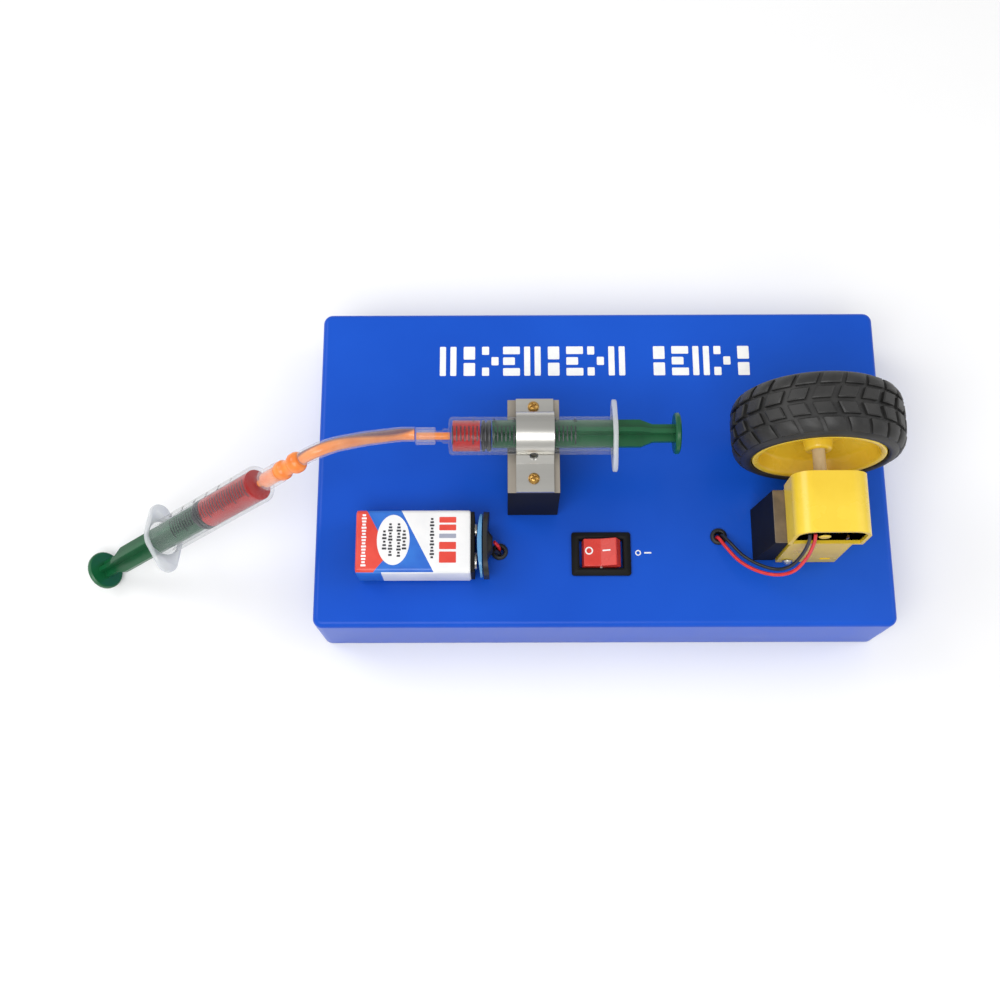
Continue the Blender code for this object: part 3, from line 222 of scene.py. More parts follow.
def surface(name, dark, light, roughness, metallic=0.0, patch=45, grain=1200, bump=0.12, spread=0.06,
            stretch=(1, 1, 1), coat=0.0, shine=0.5):
    """A procedural finish: patches between two tints, uneven gloss and a fine grain."""
    material = bpy.data.materials.new(name)
    material.use_nodes = True
    shader = material.node_tree.nodes["Principled BSDF"]
    shader.inputs["Metallic"].default_value = metallic
    shader.inputs["Specular IOR Level"].default_value = shine
    shader.inputs["Coat Weight"].default_value = coat
    shader.inputs["Coat Roughness"].default_value = 0.08
    place = add_node(material, "TexCoord").outputs["Object"]
    place = add_node(material, "Mapping", {"Vector": place}, {"Scale": stretch}).outputs["Vector"]
    patches = add_node(material, "TexNoise", {"Vector": place}, {"Scale": patch, "Detail": 5}).outputs["Fac"]
    grains = add_node(material, "TexNoise", {"Vector": place}, {"Scale": grain, "Detail": 3}).outputs["Fac"]
    tint = add_node(material, "ValToRGB", {"Fac": patches})
    for stop, position, colour in zip(tint.color_ramp.elements, (0.3, 0.7), (dark, light)):
        stop.position = position
        stop.color = (*colour, 1)
    gloss = add_node(material, "MapRange", {"Value": patches},
                     {"To Min": max(roughness - spread, 0.02), "To Max": roughness + spread})
    relief = add_node(material, "Bump", {"Height": grains}, {"Strength": bump, "Distance": 0.05 * MM})
    links = material.node_tree.links
    links.new(tint.outputs["Color"], shader.inputs["Base Color"])
    links.new(gloss.outputs["Result"], shader.inputs["Roughness"])
    links.new(relief.outputs["Normal"], shader.inputs["Normal"])
    return material


def see_through(material, face_on, edge_on):
    """Makes a finish clear where it is seen face on, and milky along its edges."""
    weight = add_node(material, "LayerWeight", values={"Blend": 0.13}).outputs["Facing"]
    alpha = add_node(material, "MapRange", {"Value": weight}, {"To Min": face_on, "To Max": edge_on})
    shader = material.node_tree.nodes["Principled BSDF"]
    material.node_tree.links.new(alpha.outputs["Result"], shader.inputs["Alpha"])
    return material


def tube_liquid(name):
    """Orange liquid that turns purple-brown towards the slave syringe, on the back half of the tube."""
    material = surface(name, (0.80, 0.22, 0.04), (0.92, 0.34, 0.09), 0.2, patch=120)
    links = material.node_tree.links
    shader = material.node_tree.nodes["Principled BSDF"]
    orange = shader.inputs["Base Color"].links[0].from_socket
    place = add_node(material, "TexCoord").outputs["Object"]
    split = add_node(material, "SeparateXYZ", {"Vector": place}).outputs
    line = add_node(material, "Math", {0: split["X"], 2: split["Y"]}, {1: -0.43})
    line.operation = "MULTIPLY_ADD"
    share = add_node(material, "MapRange", {"Value": line.outputs[0]},
                     {"From Min": 34.4 * MM, "From Max": 35.6 * MM})
    mix = add_node(material, "Mix")
    mix.data_type = "RGBA"
    links.new(share.outputs["Result"], mix.inputs["Factor"])
    links.new(orange, mix.inputs["A"])
    mix.inputs["B"].default_value = (0.16, 0.045, 0.06, 1)
    links.new(mix.outputs["Result"], shader.inputs["Base Color"])
    return material


def make_looks():
    looks = {
        "floor": surface("floor_paper", (0.93, 0.93, 0.93), (0.96, 0.96, 0.96), 0.8, patch=6, grain=300),
        "base_plastic": surface("blue_plastic", (0.006, 0.072, 0.50), (0.008, 0.088, 0.57), 0.3, patch=14,
                                grain=700, bump=0.06, shine=0.16),
        "black_plastic": surface("black_plastic", (0.006, 0.006, 0.006), (0.013, 0.013, 0.013), 0.55,
                                 shine=0.12),
        "rubber": surface("black_rubber", (0.006, 0.006, 0.006), (0.014, 0.014, 0.014), 0.5, bump=0.3),
        "steel": surface("brushed_steel", (0.50, 0.49, 0.46), (0.66, 0.65, 0.61), 0.3, 1.0, patch=60,
                         grain=500, bump=0.35, spread=0.1, stretch=(0.12, 1, 1)),
        "brass": surface("brass", (0.42, 0.23, 0.055), (0.60, 0.36, 0.11), 0.3, 1.0, patch=300, grain=2500),
        "green_plastic": surface("green_plastic", (0.003, 0.075, 0.025), (0.005, 0.115, 0.036), 0.3, patch=60,
                                 grain=900),
        "orange_plastic": surface("orange_plastic", (0.82, 0.19, 0.03), (0.94, 0.30, 0.06), 0.25, patch=200),
        "yellow_plastic": surface("yellow_plastic", (0.82, 0.56, 0.03), (0.90, 0.65, 0.05), 0.27, patch=50,
                                  grain=1000, bump=0.08, coat=0.1),
        # White nylon tinted yellow-brown: painted yellow light bounced onto it from the yellow parts nearby;
        # the nylon itself is white.
        "white_plastic": surface("white_nylon_painted_yellow_bounce", (0.60, 0.48, 0.30), (0.72, 0.60, 0.40), 0.45, patch=200),
        "tyre_rubber": surface("tyre_rubber", (0.012, 0.012, 0.012), (0.028, 0.027, 0.026), 0.5, patch=150,
                               grain=1600, bump=0.5, spread=0.1),
        "rocker_plastic": surface("red_rocker", (0.60, 0.035, 0.025), (0.70, 0.05, 0.035), 0.27, patch=150),
        "wire_red": surface("wire_red", (0.62, 0.018, 0.022), (0.74, 0.035, 0.035), 0.3, patch=300),
        "wire_black": surface("wire_black", (0.008, 0.008, 0.009), (0.02, 0.02, 0.022), 0.32, patch=300),
        "battery_label": surface("foil_red", (0.66, 0.045, 0.03), (0.76, 0.07, 0.045), 0.3, patch=90),
        "foil_blue": surface("foil_blue", (0.012, 0.10, 0.52), (0.03, 0.20, 0.68), 0.3, patch=70),
        "foil_white": surface("foil_white", (0.78, 0.79, 0.80), (0.88, 0.88, 0.88), 0.3, patch=80),
        "foil_grey": surface("foil_grey", (0.28, 0.30, 0.38), (0.34, 0.36, 0.45), 0.35, patch=80),
        "print_white": surface("white_print", (0.84, 0.85, 0.86), (0.93, 0.93, 0.93), 0.4, patch=200),
        "print_black": surface("black_print", (0.015, 0.015, 0.02), (0.05, 0.05, 0.06), 0.4, patch=300),
        "sanded_top": surface("sanded_block_top", (0.20, 0.175, 0.145), (0.32, 0.285, 0.24), 0.45, patch=90,
                              grain=700, bump=0.5, stretch=(1, 0.15, 1)),
        "brown_top": surface("brown_block_top", (0.10, 0.075, 0.05), (0.19, 0.14, 0.09), 0.4, patch=150,
                             bump=0.4),
        "liquid": tube_liquid("tube_liquid"),
    }
    clear = {
        "red_fluid": (surface("red_fluid", (0.44, 0.008, 0.008), (0.54, 0.016, 0.014), 0.15, patch=60,
                              bump=0.0, shine=0.2), 0.95, 0.99),
        "clear_plastic": (surface("clear_plastic", (0.42, 0.45, 0.47), (0.55, 0.57, 0.59), 0.1, patch=60,
                                  bump=0.03), 0.015, 0.8),
        "milky_plastic": (surface("milky_plastic", (0.66, 0.69, 0.72), (0.80, 0.82, 0.84), 0.2, patch=70),
                          0.5, 0.9),
        "hose_plastic": (surface("clear_vinyl", (0.74, 0.72, 0.74), (0.86, 0.84, 0.85), 0.08, patch=80,
                                 bump=0.02), 0.06, 0.9),
        "pale_blue": (surface("pale_blue_plate", (0.10, 0.33, 0.62), (0.2, 0.45, 0.75), 0.25, patch=80),
                      0.85, 1.0),
    }
    for name, (material, face_on, edge_on) in clear.items():
        looks[name] = see_through(material, face_on, edge_on)
    return looks


LOOKS = make_looks()


def dress_cad_nodes():
    """Gives each CAD node that stays in view the finish of its slot."""
    finishes = dict(LOOKS)
    finishes["clear_plastic"] = LOOKS["pale_blue"]
    for name, node in frame["nodes"].items():
        for material_slot in node.material_slots:
            material_slot.material = finishes[SLOT_OF_NODE[name]]


# Mesh helpers


def arc(centre_a, centre_b, radius, start, end, steps):
    points = []
    for step in range(steps + 1):
        angle = math.radians(start + (end - start) * step / steps)
        points.append((centre_a + radius * math.cos(angle), centre_b + radius * math.sin(angle)))
    return points


def rounded_rectangle(centre_a, centre_b, half_a, half_b, radius, steps=6):
    points = arc(centre_a + half_a - radius, centre_b + half_b - radius, radius, 0, 90, steps)
    points += arc(centre_a - half_a + radius, centre_b + half_b - radius, radius, 90, 180, steps)
    points += arc(centre_a - half_a + radius, centre_b - half_b + radius, radius, 180, 270, steps)
    return points + arc(centre_a + half_a - radius, centre_b - half_b + radius, radius, 270, 360, steps)


def soften(points, reach, steps=4):
    """Rounds each corner of a closed outline, except those on the axis, over a short reach."""
    result = []
    for index, point in enumerate(points):
        corner = Vector(point)
        if corner.x < ON_AXIS:
            result.append(tuple(corner))
            continue
        before, after = Vector(points[index - 1]), Vector(points[(index + 1) % len(points)])
        start = corner + (before - corner) * min(reach / (before - corner).length, 0.45)
        end = corner + (after - corner) * min(reach / (after - corner).length, 0.45)
        for step in range(steps + 1):
            t = step / steps
            result.append(tuple(start.lerp(corner, t).lerp(corner.lerp(end, t), t)))
    return result


def rod(radius, low, high):
    """The profile of a plain round bar, for add_lathe."""
    return [(0, low), (radius, low), (radius, high), (0, high)]


def add_rings(mesh_data, rings):
    """Joins outlines of equal length, given as lists of points, into a closed solid."""
    made = [[mesh_data.verts.new(point) for point in ring] for ring in rings]
    count = len(made[0])
    for low, high in zip(made, made[1:]):
        for index in range(count):
            after = (index + 1) % count
            mesh_data.faces.new((low[index], low[after], high[after], high[index]))
    mesh_data.faces.new(made[0][::-1])
    mesh_data.faces.new(made[-1])


def add_prism(mesh_data, outline, low, high, axis="Z"):
    turn = AXES[axis]
    add_rings(mesh_data, [[turn @ Vector((a, b, along)) for a, b in outline] for along in (low, high)])


def add_lathe(mesh_data, profile, centre=(0, 0, 0), axis="X", steps=64):
    """Turns a closed profile of (radius, distance along the axis) about an axis."""
    turn, centre = AXES[axis], Vector(centre)
    columns = []
    for radius, along in profile:
        if radius < ON_AXIS:
            columns.append([mesh_data.verts.new(centre + turn @ Vector((0, 0, along)))] * steps)
            continue
        angles = [2 * math.pi * step / steps for step in range(steps)]
        ring = [Vector((radius * math.cos(angle), radius * math.sin(angle), along)) for angle in angles]
        columns.append([mesh_data.verts.new(centre + turn @ point) for point in ring])
    for low, high in zip(columns, columns[1:] + columns[:1]):
        for index in range(steps):
            after = (index + 1) % steps
            corners = list(dict.fromkeys((low[index], low[after], high[after], high[index])))
            if len(corners) > 2:
                mesh_data.faces.new(corners)


def make_object(name, mesh_data, looks=(), matrix=None, smooth_angle=SMOOTH_ANGLE):
    bmesh.ops.recalc_face_normals(mesh_data, faces=mesh_data.faces)
    mesh = bpy.data.meshes.new(name)
    mesh_data.to_mesh(mesh)
    mesh_data.free()
    mesh.shade_smooth()
    mesh.set_sharp_from_angle(angle=math.radians(smooth_angle))
    for look in looks:
        mesh.materials.append(look)
    obj = bpy.data.objects.new(name, mesh)
    bpy.context.scene.collection.objects.link(obj)
    if matrix is not None:
        obj.matrix_world = matrix
    return obj


def combine(obj, tool, operation):
    """Cuts a tool out of obj, or joins it on, and removes the tool."""
    modifier = obj.modifiers.new("combine", "BOOLEAN")
    modifier.operation = operation
    modifier.solver = "EXACT"
    modifier.object = tool
    bpy.context.view_layer.update()
    graph = bpy.context.evaluated_depsgraph_get()
    mesh = bpy.data.meshes.new_from_object(obj.evaluated_get(graph))
    obj.modifiers.clear()
    obj.data = mesh
    bpy.data.objects.remove(tool, do_unlink=True)


def edge_bevel(obj, width, segments=3, angle=35):
    """Softens an object's sharp edges, and keeps its flat faces flat in the light."""
    bevel = obj.modifiers.new("edges", "BEVEL")
    bevel.width = width
    bevel.segments = segments
    bevel.limit_method = "ANGLE"
    bevel.angle_limit = math.radians(angle)
    bevel.use_clamp_overlap = True
    normals = obj.modifiers.new("flat_faces", "WEIGHTED_NORMAL")
    normals.keep_sharp = False
    normals.weight = 100
    obj.data.shade_smooth()


def settle(obj, body, slot, *nodes):
    """Puts a finished piece on its body and hides the CAD nodes that it stands for; its slot is not used."""
    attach(obj, body)
    if nodes:
        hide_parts(*nodes)
    return obj


def body_of(node):
    return frame["nodes"][node]["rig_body"]


def refined(node, name, width, looks=None, choose=None):
    """A copy of a CAD node with merged faces and softened edges; choose picks a look for each face."""
    mesh_data = bmesh.new()
    mesh_data.from_mesh(frame["nodes"][node].data)
    bmesh.ops.remove_doubles(mesh_data, verts=mesh_data.verts, dist=0.002 * MM)
    bmesh.ops.dissolve_limit(
        mesh_data, angle_limit=math.radians(0.5), verts=mesh_data.verts, edges=mesh_data.edges,
    )
    for face in mesh_data.faces:
        face.material_index = choose(face) if choose else 0
    obj = make_object(name, mesh_data, looks or [LOOKS[SLOT_OF_NODE[node]]])
    edge_bevel(obj, width)
    return settle(obj, body_of(node), SLOT_OF_NODE[node], node)


def add_piece(name, mesh_data, look, body, slot, *nodes):
    return settle(make_object(name, mesh_data, [LOOKS[look]]), body, slot, *nodes)


def lathe_piece(name, look, profile, centre, axis, body, slot, nodes=(), steps=64, matrix=None):
    mesh_data = bmesh.new()
    add_lathe(mesh_data, profile, centre, axis, steps)
    obj = make_object(name, mesh_data, [LOOKS[look]], matrix)
    return settle(obj, body, slot, *nodes)


def top_gets_second_look(block_top):
    """Chooses the first look for a block, and the second for its top face."""

    def choose(face):
        return 1 if face.normal.z > 0.9 and face.calc_center_median().z > block_top - 0.2 * MM else 0

    return choose


def middle_of(node):
    low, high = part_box(node)
    return (low + high) / 2


# Base and its printing


def build_base():
    low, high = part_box("base_shell")
    half_x, half_y = high.x, high.y
    rings = [[(a, b, low.z) for a, b in rounded_rectangle(0, 0, half_x, half_y, BASE_CORNER, 10)]]
    for a, b in arc(0, 0, BASE_FILLET, 0, 90, 8):
        inset = BASE_FILLET - a
        outline = rounded_rectangle(0, 0, half_x - inset, half_y - inset, BASE_CORNER - inset, 10)
        rings.append([(x, y, high.z - BASE_FILLET + b) for x, y in outline])
    mesh_data = bmesh.new()
    add_rings(mesh_data, rings)
    base = make_object("base_case", mesh_data, [LOOKS["base_plastic"]])
    cuts = bmesh.new()
    wall = BASE_WALL - GAP
    add_prism(cuts, rounded_rectangle(0, 0, half_x - wall, half_y - wall, 1 * MM), low.z - CUT_MARGIN,
              high.z - BASE_WALL)
    for grommet in ("battery_grommet", "motor_grommet"):
        middle = middle_of(grommet)
        hole = rod(GROMMET_HOLE, high.z - 2 * BASE_WALL, high.z + CUT_MARGIN)
        add_lathe(cuts, hole, (middle.x, middle.y, 0), "Z", 32)
    switch = middle_of("switch_body")
    add_prism(cuts, rounded_rectangle(switch.x, switch.y, *SWITCH_CUT, 0.3 * MM, 2),
              high.z - 2 * BASE_WALL, high.z + CUT_MARGIN)
    combine(base, make_object("base_cuts", cuts), "DIFFERENCE")
    normals = base.modifiers.new("flat_faces", "WEIGHTED_NORMAL")
    normals.weight = 100
    normals.keep_sharp = True
    base.data.shade_smooth()
    base.data.set_sharp_from_angle(angle=math.radians(SMOOTH_ANGLE))
    settle(base, "base", "base_plastic", "base_shell")


HEADING_SHAPES = {
    "gap": (),
    "slab": ((0.16, 0, 0.84, 0.44), (0.16, 0.56, 0.84, 1)),
    "bars": ((0, 0, 0.36, 1), (0.62, 0, 0.98, 1)),
    "dots": ((0, 0, 0.42, 0.28), (0.56, 0.36, 0.98, 0.64), (0, 0.72, 0.42, 1)),
    "steps": ((0, 0, 1, 0.26), (0, 0.37, 0.7, 0.63), (0, 0.74, 1, 1)),
}
HEADING = ("bars", "slab", "dots", "steps", "bars", "slab", "steps", "dots", "bars", "gap",
           "slab", "steps", "bars", "dots", "slab")


def build_title():
    """A row of plain white marks where the base carries its heading. They spell nothing."""
    left, right = -68.8 * MM, 68.1 * MM
    front, back = 40.2 * MM, 53.7 * MM
    low, high = TOP + PRINT_LIFT, TOP + 0.12 * MM
    pitch = (right - left) / len(HEADING)
    width, height = pitch * 0.8, back - front
    mesh_data = bmesh.new()
    for index, shape in enumerate(HEADING):
        start = left + pitch * index
        for x0, y0, x1, y1 in HEADING_SHAPES[shape]:
            centre_a, centre_b = start + width * (x0 + x1) / 2, front + height * (y0 + y1) / 2
            half_a, half_b = width * (x1 - x0) / 2, height * (y1 - y0) / 2
            outline = rounded_rectangle(centre_a, centre_b, half_a, half_b, 0.4 * MM, 3)
            add_prism(mesh_data, outline, low, high)
    add_piece("heading_marks", mesh_data, "print_white", "base", "white_plastic")


def build_switch_note():
    """A small ring and bar beside the switch, as on any on-off marking."""
    mesh_data = bmesh.new()
    low, high = TOP + PRINT_LIFT, TOP + 0.1 * MM
    inner, outer, line_y = 0.75 * MM, 1.2 * MM, -38.6 * MM
    ring = [(inner, low), (outer, low), (outer, high), (inner, high)]
    add_lathe(mesh_data, ring, (14.4 * MM, line_y, 0), "Z", 40)
    add_prism(mesh_data, rounded_rectangle(18.4 * MM, line_y, 1.5 * MM, 0.3 * MM, 0.2 * MM, 3), low, high)
    add_piece("switch_side_marks", mesh_data, "print_white", "base", "white_plastic")


# Switch


def build_switch():
    low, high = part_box("switch_body")
    centre = (low + high) / 2
    half_x, half_y = (high.x - low.x) / 2, (high.y - low.y) / 2
    open_x, open_y = 9.1 * MM, 6.2 * MM
    bezel_low = TOP + GAP
    rings = []
    for half_a, half_b, corner, z in (
        (half_x - 1.8 * MM, half_y - 1.9 * MM, 0.4 * MM, low.z),
        (half_x - 1.8 * MM, half_y - 1.9 * MM, 0.4 * MM, bezel_low),
        (half_x, half_y, 1.2 * MM, bezel_low),
        (half_x, half_y, 1.2 * MM, bezel_low + 0.7 * MM),
        (half_x - 0.25 * MM, half_y - 0.25 * MM, 1.0 * MM, bezel_low + 1.0 * MM),
        (half_x - 1.5 * MM, half_y - 1.5 * MM, 0.9 * MM, high.z - 0.15 * MM),
        (half_x - 1.8 * MM, half_y - 1.8 * MM, 0.8 * MM, high.z),
        (open_x + 0.9 * MM, open_y + 0.9 * MM, 0.7 * MM, high.z),
        (open_x + 0.3 * MM, open_y + 0.3 * MM, 0.5 * MM, high.z - 0.25 * MM),
        (open_x, open_y, 0.3 * MM, high.z - 0.6 * MM),
        (open_x, open_y, 0.3 * MM, TOP - 5.6 * MM),
    ):
        outline = rounded_rectangle(centre.x, centre.y, half_a, half_b, corner, 5)
        rings.append([(a, b, z) for a, b in outline])
    mesh_data = bmesh.new()
    add_rings(mesh_data, rings)
    bezel = make_object("switch_bezel", mesh_data, [LOOKS["black_plastic"]], smooth_angle=30)
    settle(bezel, "base", "black_plastic", "switch_body")
    build_rocker(JOINTS["rocker_tilt"]["pos_m"], open_y - 0.4 * MM)


def build_rocker(pivot, half):
    tilt = Matrix.Translation(pivot) @ Matrix.Rotation(math.radians(-9), 4, "Y")
    valley, crest_x, crest_z = 3.45 * MM, 6.7 * MM, 4.4 * MM
    outline = [(-crest_x, crest_z), (-8.1 * MM, 0), (-4.5 * MM, -3.2 * MM), (0, -4.2 * MM),
               (4.5 * MM, -3.2 * MM), (8.1 * MM, 0), (crest_x, crest_z), (0, valley)]
    mesh_data = bmesh.new()
    add_prism(mesh_data, outline, -half, half, "Y")
    rocker = make_object("rocker_cap", mesh_data, [LOOKS["rocker_plastic"]], tilt)
    edge_bevel(rocker, 0.35 * MM, angle=12)
    settle(rocker, "rocker", "rocker_plastic", "switch_rocker")

    slope = math.atan2(crest_z - valley, crest_x)
    marks = bmesh.new()
    face = (PRINT_LIFT, 0.1 * MM)
    inner, outer = 1.1 * MM, 1.65 * MM
    ring = [(inner, face[0]), (outer, face[0]), (outer, face[1]), (inner, face[1])]
    for along, turn, is_ring in ((-4.6 * MM, slope, True), (2.6 * MM, -slope, False)):
        before = set(marks.verts)
        if is_ring:
            add_lathe(marks, ring, (0, 0, 0), "Z", 40)
        else:
            add_prism(marks, rounded_rectangle(0, 0, 1.7 * MM, 0.3 * MM, 0.25 * MM, 4), *face)
        height = valley + abs(along) * math.tan(slope)
        place = Matrix.Translation((along, 0.6 * MM, height)) @ Matrix.Rotation(turn, 4, "Y")
        made = [vert for vert in marks.verts if vert not in before]
        bmesh.ops.transform(marks, matrix=place, verts=made)
    settle(make_object("rocker_marks", marks, [LOOKS["print_white"]], tilt), "rocker", "rocker_plastic")


# Clamp and the motor's block


def screw_with_recess(name, node, centre, axis, sign, radius, height):
    """A round screw head with a cross recess, on a short shank."""
    turn = AXES[axis]
    profile = [(0, height), (radius * 0.5, height * 0.93), (radius * 0.82, height * 0.62),
               (radius, height * 0.12), (radius, 0), (radius * 0.5, 0), (radius * 0.5, -4 * MM), (0, -4 * MM)]
    head = bmesh.new()
    add_lathe(head, [(r, sign * along) for r, along in soften(profile, 0.15 * MM, 2)], centre, axis, 40)
    head = make_object(name, head, [LOOKS[SLOT_OF_NODE[node]]])
    cuts = bmesh.new()
    long_half, short_half = radius * 0.55, radius * 0.12
    deep = sorted((sign * height * 0.45, sign * (height + 1 * MM)))
    quarter = [(long_half, -short_half), (long_half, short_half), (short_half, short_half)]
    lean = math.radians(25)
    outline = []
    for step in range(4):
        turned = Matrix.Rotation(math.pi / 2 * step + lean, 2)
        outline += [tuple(turned @ Vector(point)) for point in quarter]
    add_rings(cuts, [[turn @ Vector((a, b, along)) + Vector(centre) for a, b in outline] for along in deep])
    combine(head, make_object("recess_cut", cuts), "DIFFERENCE")
    settle(head, body_of(node), SLOT_OF_NODE[node], node)


def build_clamp():
    block_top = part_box("clamp_block")[1].z
    refined("clamp_block", "clamp_block_body", 0.25 * MM, [LOOKS["black_plastic"], LOOKS["sanded_top"]],
            top_gets_second_look(block_top))

    low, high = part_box("clamp_strap")
    centre_y = middle_of("slave_barrel").y
    inner = BARREL_RADIUS + GAP
    outer = inner + STRAP_SHEET
    foot_low = block_top + GAP
    foot_high = foot_low + STRAP_SHEET
    bend = -10.7 * MM
    outline = [(high.y, foot_low), (high.y, foot_high), (centre_y + outer + 0.3 * MM, foot_high)]
    outline += arc(centre_y, AXIS_HEIGHT, outer, 0, 180, 40)
    outline += [(bend, foot_high), (low.y, foot_high), (low.y, foot_low), (bend + 0.5 * MM, foot_low)]
    outline += arc(centre_y, AXIS_HEIGHT, inner, 180, 0, 40) + [(centre_y + inner, foot_low)]
    mesh_data = bmesh.new()
    add_prism(mesh_data, outline, low.x, high.x, "X")
    strap = make_object("clamp_strap_sheet", mesh_data, [LOOKS["steel"]])
    holes = bmesh.new()
    middle_x = middle_of("strap_screw_front").x
    for name in ("strap_screw_front", "strap_screw_back"):
        screw = middle_of(name)
        hole = rod(STRAP_HOLE, foot_low - CUT_MARGIN, foot_high + 0.6 * MM)
        add_lathe(holes, hole, (screw.x, screw.y, 0), "Z", 40)
    slot_end = centre_y - BORE_RADIUS
    add_lathe(holes, rod(STRAP_SLOT, low.y, slot_end), (middle_x, 0, AXIS_HEIGHT + 0.4 * MM), "Y", 32)
    combine(strap, make_object("strap_holes", holes), "DIFFERENCE")
    edge_bevel(strap, 0.15 * MM)
    settle(strap, "base", "steel", "clamp_strap")
    for side in ("front", "back"):
        screw = middle_of(f"strap_screw_{side}")
        screw_with_recess(f"strap_screw_head_{side}", f"strap_screw_{side}",
                          (screw.x, screw.y, foot_high + GAP), "Z", 1, 2.3 * MM, 1.6 * MM)


def build_motor_block():
    block_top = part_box("motor_block")[1].z
    refined("motor_block", "motor_block_body", 0.4 * MM, [LOOKS["black_plastic"], LOOKS["brown_top"]],
            top_gets_second_look(block_top))


# Syringes and hose


def syringe_place(prefix):
    """The matrix from a syringe's own frame, +X from its shoulder to its thumb disc, to the row frame."""
    direction = Vector(JOINTS[f"{prefix}_plunger_slide"]["axis"]).normalized()
    if direction.dot(middle_of(f"{prefix}_plunger") - middle_of(f"{prefix}_fluid")) < 0:
        direction = -direction
    fluid = frame["nodes"][f"{prefix}_fluid"].data.vertices
    middle = sum((vert.co for vert in fluid), Vector()) / len(fluid)
    barrel = frame["nodes"][f"{prefix}_barrel"].data.vertices
    mouth = max((vert.co - middle).dot(direction) for vert in barrel)
    level = Vector((0, 0, 1)).cross(direction).normalized()
    matrix = Matrix((direction, level, direction.cross(level))).transposed().to_4x4()
    matrix.translation = middle + direction * (mouth - BARREL_LENGTH)
    return matrix


def wing_outline():
    wing_centre = FLANGE_SPAN / 2 - FLANGE_WING_RADIUS
    lean = math.degrees(math.acos((FLANGE_MIDDLE_RADIUS - FLANGE_WING_RADIUS) / wing_centre))
    points = arc(wing_centre, 0, FLANGE_WING_RADIUS, -lean, lean, 20)
    points += arc(0, 0, FLANGE_MIDDLE_RADIUS, lean, 180 - lean, 14)[1:-1]
    points += arc(-wing_centre, 0, FLANGE_WING_RADIUS, 180 - lean, 180 + lean, 20)
    return points + arc(0, 0, FLANGE_MIDDLE_RADIUS, 180 + lean, 360 - lean, 14)[1:-1]


def build_barrel(prefix, place):
    tip = TIP_LENGTHS[prefix]
    profile = [
        (BORE_RADIUS, BARREL_LENGTH), (BARREL_RADIUS, BARREL_LENGTH), (BARREL_RADIUS, 0.8 * MM),
        (BARREL_RADIUS - 0.8 * MM, 0), (3 * MM, 0), (3 * MM, -2.4 * MM), (TIP_RADIUS, -2.8 * MM),
        (TIP_RADIUS - 0.2 * MM, -tip), (0.9 * MM, -tip), (0.9 * MM, 0.6 * MM), (BORE_RADIUS, 1.4 * MM),
    ]
    mesh_data = bmesh.new()
    add_lathe(mesh_data, soften(profile, 0.4 * MM), axis="X", steps=72)
    barrel = make_object(f"{prefix}_barrel_tube", mesh_data, [LOOKS["clear_plastic"]], place)
    settle(barrel, "base", "clear_plastic", f"{prefix}_barrel")
    core = rod(1.5 * MM, -tip - 1 * MM, 0.4 * MM)
    lathe_piece(f"{prefix}_tip_liquid", "liquid", soften(core, 0.2 * MM, 2), (0, 0, 0), "X", "base",
                "red_fluid", (), 32, place)

    rings = []
    low = BARREL_LENGTH - FLANGE_THICKNESS
    for along, inset in (
        (low, 0.45),
        (low + 0.15 * MM, 0.15),
        (low + 0.45 * MM, 0),
        (BARREL_LENGTH - 0.5 * MM, 0),
        (BARREL_LENGTH - 0.2 * MM, 0.15),
        (BARREL_LENGTH - 0.05 * MM, 0.45),
    ):
        scale_a, scale_b = 1 - 2 * inset * MM / FLANGE_SPAN, 1 - inset * MM / FLANGE_MIDDLE_RADIUS
        rings.append([(along, a * scale_a, b * scale_b) for a, b in wing_outline()])
    mesh_data = bmesh.new()
    add_rings(mesh_data, rings)
    flange = make_object(f"{prefix}_finger_flange", mesh_data, [LOOKS["milky_plastic"]], place)
    hole = bmesh.new()
    cut = rod(BARREL_RADIUS - 0.1 * MM, low - CUT_MARGIN, BARREL_LENGTH + CUT_MARGIN)
    add_lathe(hole, cut, axis="X", steps=72)
    combine(flange, make_object("flange_hole", hole, matrix=place), "DIFFERENCE")
    settle(flange, "base", "clear_plastic")


def on_barrel(along, angle, radius, side):
    """A point on the barrel, its angle counted from the top towards the side that shows at the front."""
    return (along, -side * radius * math.sin(angle), radius * math.cos(angle))


def add_tick(mesh_data, along, start, end, width, side):
    low, high = BARREL_RADIUS + 0.01 * MM, BARREL_RADIUS + 0.05 * MM
    steps = 6
    angles = [math.radians(start + (end - start) * step / steps) for step in range(steps + 1)]
    rings = []
    for angle in angles:
        corners = ((along - width / 2, low), (along + width / 2, low), (along + width / 2, high),
                   (along - width / 2, high))
        rings.append([on_barrel(place, angle, radius, side) for place, radius in corners])
    add_rings(mesh_data, rings)


def add_numeral(mesh_data, digit, along, angle, size, side):
    """A plain scale number, wrapped on the barrel."""
    curve = bpy.data.curves.new("numeral", "FONT")
    curve.body = str(digit)
    curve.size = size
    curve.extrude = 0.02 * MM
    curve.resolution_u = 3
    curve.align_x, curve.align_y = "CENTER", "CENTER"
    obj = bpy.data.objects.new("numeral", curve)
    bpy.context.scene.collection.objects.link(obj)
    bpy.context.view_layer.update()
    mesh = bpy.data.meshes.new_from_object(obj.evaluated_get(bpy.context.evaluated_depsgraph_get()))
    bpy.data.objects.remove(obj, do_unlink=True)
    for vert in mesh.vertices:
        radius = BARREL_RADIUS + 0.03 * MM + vert.co.z
        vert.co = on_barrel(along + side * vert.co.x, angle - vert.co.y / BARREL_RADIUS, radius, side)
    mesh_data.from_mesh(mesh)
    bpy.data.meshes.remove(mesh)


